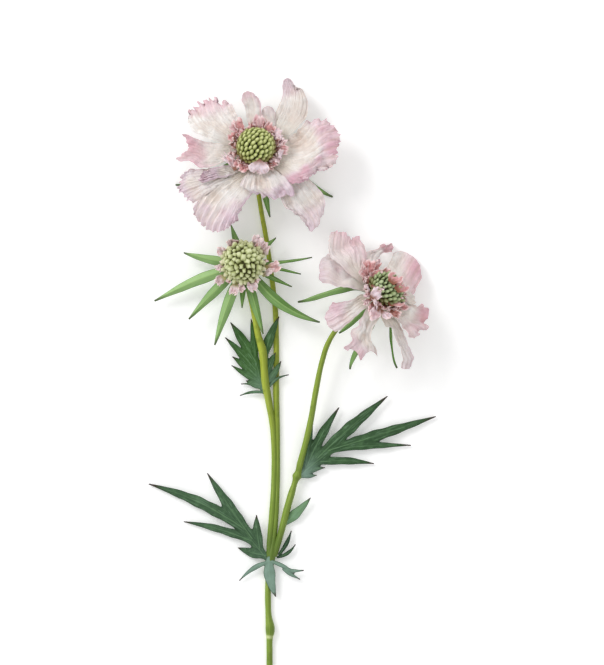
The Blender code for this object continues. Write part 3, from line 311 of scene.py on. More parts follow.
# Thickness, grid step, least half width, room left round a leaf, and how far its grey foot and one
# lobe's height reach, in millimetres; then where a lobe is widest and the stations of a midrib
LEAF_SHEET = 0.5
LEAF_GRID = 0.3
NARROWEST = 0.26
LEAF_MARGIN = 4
GREY_REACH = 9.0
LOBE_REACH = 0.5
LEAF_PEAK = 0.42
MIDRIB_STATIONS = 60

# Lobes: root x, y, z, tip x, y, z, half width, sideways bow
LEAVES = dict(
    lower_leaf_left=[
        (-11.5, -60.5, 2.6, -30.0, -37.0, 5.6, 1.9, 0.5), (-22.5, -45.5, 4.2, -71.8, -21.9, 1.6, 2.9, -3.6),
        (-20.0, -49.0, 3.9, -42.4, -16.5, 3.2, 2.8, 0.6), (-18.0, -51.5, 3.6, -54.2, -40.8, 1.4, 2.0, -2.0),
        (-16.0, -54.5, 3.2, -17.8, -37.5, 4.4, 2.4, 0.8), (-13.5, -57.5, 2.8, -27.0, -53.9, 1.6, 2.4, 0.6)],
    lower_leaf_front=[
        (-11.4, -59.5, 3.7, -8.2, -78.2, 3.0, 2.8, -1.6), (-10.8, -60.6, 3.9, -26.3, -70.2, 1.8, 1.2, -2.0),
        (-11.4, -60.4, 3.8, 1.0, -66.4, 4.4, 1.1, 1.0), (-3.6, -64.8, 4.3, 5.7, -65.2, 3.0, 0.9, -0.4),
        (-4.4, -64.6, 4.2, 3.9, -69.6, 2.6, 0.9, -0.2)],
    lower_leaf_right=[(-4.6, -42.0, 1.9, 9.2, -28.8, 3.4, 2.4, -0.8)],
    lower_leaf_sliver=[
        (-7.2, -58.6, 2.0, 1.6, -52.3, 1.8, 0.9, -1.6), (-6.4, -57.0, 2.0, -0.4, -45.4, 2.2, 1.1, -1.0)],
    branch_leaf=[
        (3.4, -18.0, 3.4, 25.0, -1.0, 3.6, 2.6, 0.6), (6.5, -14.5, 3.2, 10.4, 8.6, 2.4, 1.8, 0.4),
        (7.0, -14.0, 3.2, 23.5, 16.5, 2.8, 2.6, 1.4), (12.5, -9.0, 3.4, 47.8, 22.2, 2.8, 3.0, 0.8),
        (18.0, -5.0, 3.5, 72.0, 12.0, 1.6, 2.9, -0.2), (20.0, -4.5, 3.5, 59.5, -2.4, 1.4, 1.8, 1.2),
        (11.5, -11.0, 3.2, 41.0, -11.6, 1.6, 2.0, 1.6), (5.0, -16.6, 3.2, 16.4, -13.6, 2.6, 1.5, 0.8),
        (4.6, -17.2, 3.0, 12.2, -17.4, 2.2, 1.3, -0.6)],
    fork_leaf_left=[
        (-13.6, 24.5, 3.4, -19.5, 47.0, 3.8, 2.6, 0.8), (-17.3, 37.5, 3.8, -30.8, 59.2, 3.2, 2.8, -0.6),
        (-17.4, 34.5, 3.7, -33.4, 51.6, 2.6, 2.2, -0.6), (-17.0, 31.5, 3.5, -29.8, 42.0, 2.2, 2.2, -0.6),
        (-15.8, 29.0, 3.4, -30.2, 37.6, 1.8, 1.6, 0.2), (-14.2, 27.5, 3.3, -23.0, 30.0, 2.2, 2.0, 0.2),
        (-18.4, 40.5, 3.8, -20.6, 61.0, 3.4, 2.0, -0.6), (-13.4, 24.5, 3.3, -25.4, 28.4, 1.4, 0.9, -2.0),
        (-13.4, 24.0, 3.2, -26.0, 22.6, 1.4, 0.8, -1.4)],
    fork_leaf_right=[
        (-12.8, 25.0, 3.6, -12.4, 46.5, 4.0, 1.5, 0.6), (-14.0, 41.5, 4.0, -6.6, 62.0, 3.9, 2.4, 1.0),
        (-12.6, 33.5, 3.8, -8.4, 44.0, 3.8, 2.0, 0.6), (-12.6, 29.0, 3.7, -5.6, 39.6, 3.6, 1.9, -0.4),
        (-12.2, 25.5, 3.6, -1.8, 33.0, 3.2, 0.8, 2.4)],
)

# How round each leaf's bays are, in millimetres, how blue-grey it is, how much more so at its foot,
# and how bright a green
LEAF_LOOKS = dict(lower_leaf_left=(1.8, 0.10, 0.1, 0.15), lower_leaf_front=(0.8, 0.70, 0.0, 0.3),
                  lower_leaf_right=(1.0, 0.40, 0.0, 1.0), lower_leaf_sliver=(0.8, 0.05, 0.0, 0.0),
                  branch_leaf=(1.3, 0.05, 0.75, 0.15), fork_leaf_left=(0.5, 0.0, 0.35, 0.35),
                  fork_leaf_right=(0.5, 0.05, 0.4, 0.3))

# Share of a lobe's or bract's length over which its midrib keeps its way at the root and at the tip
ROOT_PULL = 0.35
TIP_PULL = 0.38


def midrib_curve(root, tip, arch, sweep, t):
    """Points and directions of a midrib at the values t: a cubic curve from root to tip, raised by
    the arch before its end and bowed sideways by the sweep."""
    flat = (tip - root) * (1, 1, 0)
    length = np.linalg.norm(flat)
    outward = flat / length
    sideways = np.cross(UP, outward)
    first = root + outward * ROOT_PULL * length + sideways * sweep
    second = tip - outward * TIP_PULL * length + UP * arch + sideways * sweep
    t = t[..., None]
    point = ((1 - t) ** 3 * root + 3 * (1 - t) ** 2 * t * first
             + 3 * (1 - t) * t ** 2 * second + t ** 3 * tip)
    slope = ((1 - t) ** 2 * (first - root) + 2 * (1 - t) * t * (second - first)
             + t ** 2 * (tip - second))
    return point, unit(slope)


def lobe_field(place, plane, seed):
    """A leaf lobe as fields over points of a plane: how far outside its edge a point lies, its
    height there, and where it is along and across the lobe.

    The lobe is a strip about its midrib, and a point belongs to the nearest of many stations on
    that. The face folds down from a raised midrib, and low side veins slant forward from it.
    """
    draw = np.random.default_rng(seed)
    root, tip = np.array(place[:3]), np.array(place[3:6])
    half_width, sweep = place[6:]
    length = np.linalg.norm((tip - root) * (1, 1, 0))
    share = np.linspace(0, 1, MIDRIB_STATIONS)
    middle, along = midrib_curve(root, tip, 0.05 * length, sweep, share)
    heading = unit(along[:, :2])
    offset = plane[:, None, :] - middle[None, :, :2]
    nearest = np.argmin((offset ** 2).sum(axis=-1), axis=1)
    offset = offset[np.arange(len(plane)), nearest]
    ahead = (offset * heading[nearest]).sum(axis=1)
    lateral = heading[nearest, 0] * offset[:, 1] - heading[nearest, 1] * offset[:, 0]
    past_end = (nearest == 0) & (ahead < 0) | (nearest == MIDRIB_STATIONS - 1) & (ahead > 0)
    beyond = np.where(past_end, ahead, 0)
    u = np.clip(share[nearest] + (ahead - beyond) / length, 0, 1)
    opening = np.sin(PI / 2 * np.minimum(1, u / LEAF_PEAK))
    past_peak = np.maximum(0, (u - LEAF_PEAK) / (1 - LEAF_PEAK))
    wave = 1 + 0.07 * np.sin(2 * PI * (length / 11 * u + draw.random())) * np.sin(PI * u)
    width = half_width * (0.55 + 0.45 * opening) * (1 - 0.92 * past_peak ** 1.7) * wave
    width = np.maximum(width, NARROWEST)
    outside = np.hypot(lateral, beyond) - width
    v = np.clip(lateral / width, -1.3, 1.3)
    height = np.interp(u, share, middle[:, 2])
    veins = 0.07 * np.cos(2 * PI * (length / 4.5 * u - 0.6 * np.abs(v))) * np.clip(np.abs(v), 0, 1)
    midrib = 0.20 * np.exp(-(lateral / 0.3) ** 2) * (1 - 0.7 * u)
    ripple = 0.30 * v * np.abs(v) * np.sin(2 * PI * (length / 14 * u + draw.random())) * np.sin(PI * u)
    fold = -0.45 * np.abs(v) * half_width / 2.5
    return outside, height + veins + midrib + ripple + fold + 0.2, u, v


def leaf_web(lobes, rounding, grey, foot_grey, bright):
    """A cut leaf as one thin body, with round bays between its lobes.

    The lobes' fields are joined by a smooth minimum, which rounds the corners where two meet, and
    the leaf lies where the joined field is negative. A square grid is cut to it: cells with their
    middle inside are kept, and the corners on the cut move onto the outline, down the field's
    slope. Heights are the lobes' own, weighted towards the lobe that a point lies deepest in.
    """
    ends = np.array([lobe[:2] for lobe in lobes] + [lobe[3:5] for lobe in lobes])
    low, high = ends.min(axis=0) - LEAF_MARGIN, ends.max(axis=0) + LEAF_MARGIN
    counts = np.ceil((high - low) / LEAF_GRID).astype(int) + 1
    x, y = (start + LEAF_GRID * np.arange(count) for start, count in zip(low, counts))
    plane = np.stack([part.ravel() for part in np.meshgrid(x, y, indexing="ij")], axis=1)
    fields = [lobe_field(lobe, plane, seed) for seed, lobe in enumerate(lobes)]
    outside, heights, us, vs = (np.stack([field[part] for field in fields]) for part in range(4))
    joined = outside[0]
    for other in outside[1:]:
        share = np.clip(0.5 + 0.5 * (other - joined) / rounding, 0, 1)
        joined = other * (1 - share) + joined * share - rounding * share * (1 - share)
    weight = np.exp(-(outside - outside.min(axis=0)) / LOBE_REACH)
    height = (heights * weight).sum(axis=0) / weight.sum(axis=0)
    best = np.argmin(outside, axis=0)
    pick = np.arange(len(plane))
    own = np.random.default_rng(len(lobes)).random(len(lobes))[best]
    field = joined.reshape(counts)
    keep = (field[:-1, :-1] + field[1:, :-1] + field[1:, 1:] + field[:-1, 1:]) < 0
    for _ in range(2):
        across_one = keep[:-1, :-1] & keep[1:, 1:] & ~keep[1:, :-1] & ~keep[:-1, 1:]
        across_two = ~keep[:-1, :-1] & ~keep[1:, 1:] & keep[1:, :-1] & keep[:-1, 1:]
        keep[1:, :-1] |= across_one
        keep[:-1, :-1] |= across_two
    padded = np.pad(keep, 1)
    corners = [padded[:-1, :-1], padded[1:, :-1], padded[1:, 1:], padded[:-1, 1:]]
    on_cut = ((sum(corner.astype(int) for corner in corners) % 4) != 0).ravel()
    slope = np.stack(np.gradient(field, LEAF_GRID), axis=-1).reshape(-1, 2)
    slope /= np.maximum((slope ** 2).sum(axis=1, keepdims=True), 0.25)
    step = np.clip(joined, -0.75 * LEAF_GRID, 0.75 * LEAF_GRID)
    plane = np.where(on_cut[:, None], plane - slope * step[:, None], plane)
    inset = np.where(on_cut, 0.0, np.maximum(0, -joined))
    i, j = np.nonzero(keep)
    here = i * counts[1] + j
    quads = np.stack([here, here + counts[1], here + counts[1] + 1, here + 1], axis=1)
    free = [~padded[1:-1, :-2][i, j], ~padded[2:, 1:-1][i, j], ~padded[1:-1, 2:][i, j],
            ~padded[:-2, 1:-1][i, j]]
    edges = np.concatenate([np.stack([quads[gone, side], quads[gone, (side + 1) % 4]], axis=1)
                            for side, gone in enumerate(free)])
    used, packed = np.unique(np.concatenate([quads.ravel(), edges.ravel()]), return_inverse=True)
    quads, edges = packed[:quads.size].reshape(-1, 4), packed[quads.size:].reshape(-1, 2)
    total = len(used)
    thick = LEAF_SHEET * (0.45 + 0.55 * np.clip(inset / 0.8, 0, 1))
    upper = np.column_stack([plane, height + thick / 2])[used]
    under = np.column_stack([plane, height - thick / 2])[used]
    rim = np.stack([edges[:, 1], edges[:, 0], edges[:, 0] + total, edges[:, 1] + total], axis=1)
    foot = np.hypot(*(plane - ends[0]).T)
    grey = grey + foot_grey * np.exp(-(foot / GREY_REACH) ** 2)
    values = dict(along=us[best, pick], across=vs[best, pick], inset=inset, own=own, grey=grey,
                  bright=np.full(len(plane), bright))
    return dict(points=np.concatenate([upper, under]), faces=[quads, quads[:, ::-1] + total, rim],
                values={key: np.tile(value[used], 2) for key, value in values.items()})


web = Finish("leaf_web", Roughness=0.55, Specular_IOR_Level=0.22)
along, across, own, inset = web.attributes("along", "across", "own", "inset")
bright, grey = web.attributes("bright", "grey")
mottling = web.noise(web.place(), 240.0, 4.0, 0.6)
fine = web.noise(web.place(), 1100.0, 2.0)
side_veins = web.noise(web.vector(across.size() * 2.0 - along * 9.0, across * 1.2, own * 9.0), 3.0, 3.0)
sheen = web.noise(web.vector(across * 3.0, along * 5.0, own * 17.0), 1.4, 2.0)
rib = 1.0 - web.rising(0.03, 0.16, across.size())
grey_share = grey * (0.6 + mottling * 0.7)
rim_share = 1.0 - web.rising(0.0, 0.55, inset)
dry = web.rising(0.86, 0.99, along + (mottling - 0.5) * 0.15)
green = web.layers(
    web.mix(bright, colour(0.09, 0.22, 0.11), colour(0.36, 0.54, 0.24)),
    (web.rising(0.45, 0.75, mottling) * 0.45, colour(0.34, 0.50, 0.30)),
    (web.rising(0.48, 0.75, side_veins) * 0.5, colour(0.07, 0.19, 0.09)),
    (web.rising(0.52, 0.72, sheen) * 0.4, colour(0.46, 0.60, 0.46)),
    (rib * 0.5 * (1.0 - along), colour(0.46, 0.62, 0.42)),
    (grey_share, colour(0.56, 0.67, 0.62)),
    (rim_share * 0.6, colour(0.07, 0.16, 0.09)),
    (dry * 0.85, colour(0.24, 0.14, 0.14)))
web.wear(Base_Color=green, Roughness=0.5 + mottling * 0.25,
         Normal=web.bump(mottling + side_veins * 0.8 + fine * 0.4, 0.45, 0.0005))

for name, lobes in LEAVES.items():
    put(name + "_web", [leaf_web(lobes, *LEAF_LOOKS[name])], web.material, [name])


# The green cups and their bracts
# Under each head sits a small ribbed cup, with narrow pointed bracts that leave it all round and
# hang down or lie flat. They are leaf-like and folded along the midrib, with painted shade on one half.

# The heads: the middle of each one's ring, and where to and how far its axis leans, in degrees
HEADS = dict(bloom_a=dict(centre=(-18.0, 145.0, 17.0), towards=90, lean=17),
             bloom_b=dict(centre=(44.0, 72.0, 22.5), towards=50, lean=48),
             young_head=dict(centre=(-24.2, 88.2, 14.0), towards=100, lean=12))
# The cup's profile and the bracts' roots, in millimetres from the axis and along it
CUP_RADII = [2.4, 2.7, 3.6, 5.2, 6.7, 7.4, 7.6, 7.2]
CUP_HEIGHTS = [-5.0, -4.6, -4.0, -2.9, -1.8, -0.9, -0.35, 0.0]
CUP_RIBS = 12
BRACT_LEVEL = -1.8
BRACT_START = 3.5
BRACT_SHEET = 0.5
BRACT_COLUMNS = 13
BRACT_FORM = dict(peak=0.4, taper=0.92, claw=0.45, flare=1.0, bow=0.0, teeth=3, tooth=0.0, phase=0.0,
                  cup=-0.7, pleat=0.0, ruffle=0.0, waves=1.5, roll=0, arch=1.5)

# Bracts: tip as seen from above, rise along the axis, half width, sideways bow, paleness
BRACTS = dict(
    bloom_a=[
        (-40.5, -16.5, -20.2, 2.0, 4, 0.2), (38.5, -22.5, -21.7, 2.6, 0, 0.3),
        (7.0, -33.0, -15.5, 2.2, 0, 0.1), (-25.0, 12.0, -9.0, 2.2, 0, 0.3),
        (-2.0, 21.0, -7.0, 1.8, 0, 0.3), (14.0, 22.0, -7.0, 2.0, 0, 0.3), (28.0, 8.0, -9.0, 2.2, 0, 0.3),
        (24.0, -12.0, -14.0, 2.0, 0, 0.2), (-15.0, -24.0, -16.0, 2.2, 0, 0.3)],
    bloom_b=[
        (-40.8, -2.2, -28.0, 2.4, -8, 0.55), (-20.4, -17.8, -24.0, 2.0, 0, 0.3),
        (-14.8, -35.8, -32.0, 2.2, 0, 0.3), (8.6, -35.4, -21.0, 0.8, 1, 0.0),
        (7.0, 7.5, -6.8, 2.2, 0, 0.3), (-8.0, 14.0, -8.0, 2.0, 0, 0.3), (15.0, -5.0, -7.5, 2.0, 0, 0.3),
        (-18.0, 8.0, -10.0, 2.0, 0, 0.3)],
    young_head=[
        (-44.8, -18.0, -10.0, 2.8, -2, 0.95), (-27.5, -27.2, -8.0, 2.6, -1, 0.6),
        (-14.5, -40.2, -9.0, 2.7, -1, 0.75), (-0.8, -21.7, -4.0, 1.6, 0, 0.0),
        (9.8, -34.7, -7.0, 2.3, 0, 0.35), (38.2, -28.7, -10.0, 2.8, -6, 0.3),
        (34.2, 3.7, -4.0, 0.9, -1, 0.1), (28.7, -4.7, -5.0, 1.0, 1, 0.0),
        (24.2, -11.0, -7.0, 1.3, 0, 0.0), (-6.4, 20.0, -3.0, 1.8, 0, 0.3),
        (16.1, 13.5, -3.0, 1.8, 0, 0.1), (-30.0, 6.1, -5.0, 2.4, 1, 0.8)],
)


def head_turn(head):
    """The turn from a head's own frame to the spray's: its axis leans towards an azimuth."""
    towards, lean = math.radians(head["towards"]), math.radians(head["lean"])
    spin = np.array([[math.cos(towards), -math.sin(towards), 0],
                     [math.sin(towards), math.cos(towards), 0], [0, 0, 1]])
    tilt = np.array([[math.cos(lean), 0, math.sin(lean)], [0, 1, 0],
                     [-math.sin(lean), 0, math.cos(lean)]])
    return spin @ tilt @ spin.T


def on_head(head, shape):
    """A shape made in a head's own frame, placed on the spray."""
    return dict(shape, points=shape["points"] @ head_turn(head).T + np.array(head["centre"]))


def as_seen(head, east, north, rise):
    """The point in a head's own frame that is seen at (east, north) of its centre from above,
    and that lies the given rise along its axis."""
    turn = head_turn(head)
    flat = np.linalg.solve(turn[:2, :2], np.array([east, north]) - turn[:2, 2] * rise)
    return np.array([flat[0], flat[1], rise])


def turned(radii, heights, ribs, rib_depth, sides=72, **values):
    """A closed body turned about a head's axis, from its foot up, with ribs that run along it:
    its radius waves round the axis."""
    angle = np.linspace(0, 2 * PI, sides, endpoint=False)
    radius = np.array(radii)[:, None] * (1 + rib_depth * np.cos(ribs * angle))
    height = np.broadcast_to(np.array(heights)[:, None], radius.shape)
    surface = np.stack([radius * np.cos(angle), radius * np.sin(angle), height], axis=-1)
    points, faces = rings(surface)
    return dict(points=points, faces=faces,
                values={key: np.full(len(points), float(value)) for key, value in values.items()})


def spread(rows, columns):
    """The two parameters of a blade: u from 0 at its root to 1 at its tip, v from -1 to 1."""
    return np.linspace(0, 1, rows)[:, None], np.linspace(-1, 1, columns)[None, :]


def blade(root, tip, form, u, v, relief):
    """Points on a bract or a floret.

    The half width grows from the claw to the peak, later with more flare, and shrinks by the
    taper at the tip. The end is cut by a bow and by teeth. The face is cupped across, pleated
    with its teeth, ruffled along its edges and raised by the relief, and it rolls about the
    midrib towards the tip.
    """
    cut = 0.5 - 0.5 * np.cos(PI * form["teeth"] * v + form["phase"])
    reach = u * (1 - form["bow"] * v ** 2 - form["tooth"] * cut)
    middle, along = midrib_curve(root, tip, form["arch"], form["sweep"], reach)
    side = unit(np.cross(UP, along))
    normal = np.cross(along, side)
    turn = (math.radians(form["roll"]) * u)[..., None]
    rolled_side = side * np.cos(turn) + normal * np.sin(turn)
    rolled_normal = normal * np.cos(turn) - side * np.sin(turn)
    opening = np.sin(PI / 2 * np.minimum(1, u / form["peak"])) ** form["flare"]
    swell = form["claw"] + (1 - form["claw"]) * opening
    past_peak = np.maximum(0, (u - form["peak"]) / (1 - form["peak"]))
    width = form["half_width"] * swell * (1 - form["taper"] * past_peak ** 1.6)
    height = (form["cup"] * u * v ** 2
              + form["pleat"] * u ** 1.5 * np.cos(PI * form["teeth"] * v + form["phase"])
              + form["ruffle"] * u * v ** 2 * np.sin(2 * PI * form["waves"] * u + 2 * v) + relief)
    return middle + rolled_side * (v * width)[..., None] + rolled_normal * height[..., None]


def grid_normal(surface):
    """The direction square to a grid of points, at each of them."""
    return unit(np.cross(np.gradient(surface, axis=0), np.gradient(surface, axis=1)))


def shell(surface, thickness, **values):
    """A closed thin solid about a grid of points: the grid moved out by half the thickness along
    its normal, the same moved in, and a rim between their edges."""
    rows, columns = surface.shape[:2]
    half = grid_normal(surface) * (np.broadcast_to(thickness, (rows, columns)) / 2)[..., None]
    points = np.concatenate([(surface + half).reshape(-1, 3), (surface - half).reshape(-1, 3)])
    corner = np.arange(rows * columns).reshape(rows, columns)
    upper = np.stack([corner[:-1, :-1], corner[1:, :-1], corner[1:, 1:], corner[:-1, 1:]], axis=-1)
    upper = upper.reshape(-1, 4)
    lower = upper[:, ::-1] + rows * columns
    edge = np.concatenate([corner[:, 0], corner[-1, 1:], corner[-2::-1, -1], corner[0, -2:0:-1]])
    following = np.roll(edge, -1)
    rim = np.stack([following, edge, edge + rows * columns, following + rows * columns], axis=1)
    spread_out = {key: np.tile(np.broadcast_to(value, (rows, columns)).ravel(), 2)
                  for key, value in values.items()}
    return dict(points=points, faces=[upper, lower, rim], values=spread_out)


def bract(head, place, seed):
    """A narrow pointed blade, folded along its midrib, with a low wave in its edges."""
    draw = np.random.default_rng(seed)
    east, north, rise, half_width, sweep, pale = place
    tip = as_seen(head, east, north, rise)
    outward = unit(tip[:2])
    root = np.array([*(outward * BRACT_START), BRACT_LEVEL])
    form = dict(BRACT_FORM, half_width=half_width, sweep=sweep)
    length = np.linalg.norm(tip - root)
    u, v = spread(max(18, int(length)), BRACT_COLUMNS)
    keel = 0.14 * np.exp(-(v / 0.15) ** 2) - 0.30 * np.abs(v) * half_width / 2.5
    ripple = 0.3 * v ** 3 * np.sin(2 * PI * (length / 15 * u + draw.random())) * np.sin(PI * u)
    surface = blade(root, tip, form, u, v, relief=keel + ripple + 0.1)
    return on_head(head, shell(surface, BRACT_SHEET * (1 - 0.4 * v ** 2), along=u, across=v, pale=pale,
                               own=draw.random()))


cup_green = Finish("cup_and_bracts", Roughness=0.55, Specular_IOR_Level=0.3)
along, across, own, pale = cup_green.attributes("along", "across", "own", "pale")
fibres = cup_green.noise(cup_green.vector(across * 9.0, along * 1.4, own * 7.0), 2.0, 4.0)
mottling = cup_green.noise(cup_green.place(), 260.0, 3.0)
# Painted shade on one half of each bract, across its midrib
painted_shade_half = cup_green.rising(-0.08, 0.08, across)
rib = 1.0 - cup_green.rising(0.02, 0.14, across.size())
green = cup_green.layers(
    cup_green.mix(pale, colour(0.32, 0.50, 0.18), colour(0.62, 0.76, 0.50)),
    (painted_shade_half * 0.42, colour(0.26, 0.42, 0.12)),
    (cup_green.rising(0.45, 0.72, fibres) * 0.45, colour(0.70, 0.80, 0.58)),
    (cup_green.rising(0.50, 0.75, mottling) * 0.25, colour(0.24, 0.46, 0.16)),
    (rib * 0.5, colour(0.62, 0.76, 0.45)),
    (cup_green.rising(0.82, 1.0, across.size()) * 0.6, colour(0.17, 0.34, 0.13)),
    (cup_green.rising(0.86, 1.0, along) * 0.8, colour(0.25, 0.27, 0.18)))
cup_green.wear(Base_Color=green, Roughness=0.48 + fibres * 0.25,
               Normal=cup_green.bump(fibres + mottling * 0.5, 0.3, 0.0004))

for name, head in HEADS.items():
    cup = turned(CUP_RADII, CUP_HEIGHTS, CUP_RIBS, 0.03, along=0.3, across=0.4, pale=0.35, own=0.5)
    shapes = [bract(head, place, seed) for seed, place in enumerate(BRACTS[name])]
    put(name + "_cup_and_bracts", [on_head(head, cup), *shapes], cup_green.material,
        [name + "_bracts"])


# The ray petals of the two open blooms
# Thin cream petals that leave a ring by a narrow claw and widen to a ruffled end, crumpled and
# pleated like soft cloth. They blush from cream to pink and mauve along their edges.

# The petals' thickness, the disc that they leave, between two heights on the axis, where on it they
# start, and the step from one layer to the next, in millimetres
PETAL_SHEET = 0.32
PETAL_DISC = (0.3, 1.9)
PETAL_DISC_RADII = [6.0, 7.6, 8.5, 8.5, 7.6, 6.0]
PETAL_DISC_RIBS = 20
DISC_EDGE = 0.4
PETAL_START = 6.0
PETAL_LAYER_STEP = 0.6
# A petal with an outline longer than this has the finer grid
LONG_OUTLINE = 60
FINE_GRID = (56, 60)
COARSE_GRID = (40, 30)
CRUMPLE_WAVES = 10
CRUMPLE_DEPTH = 0.095

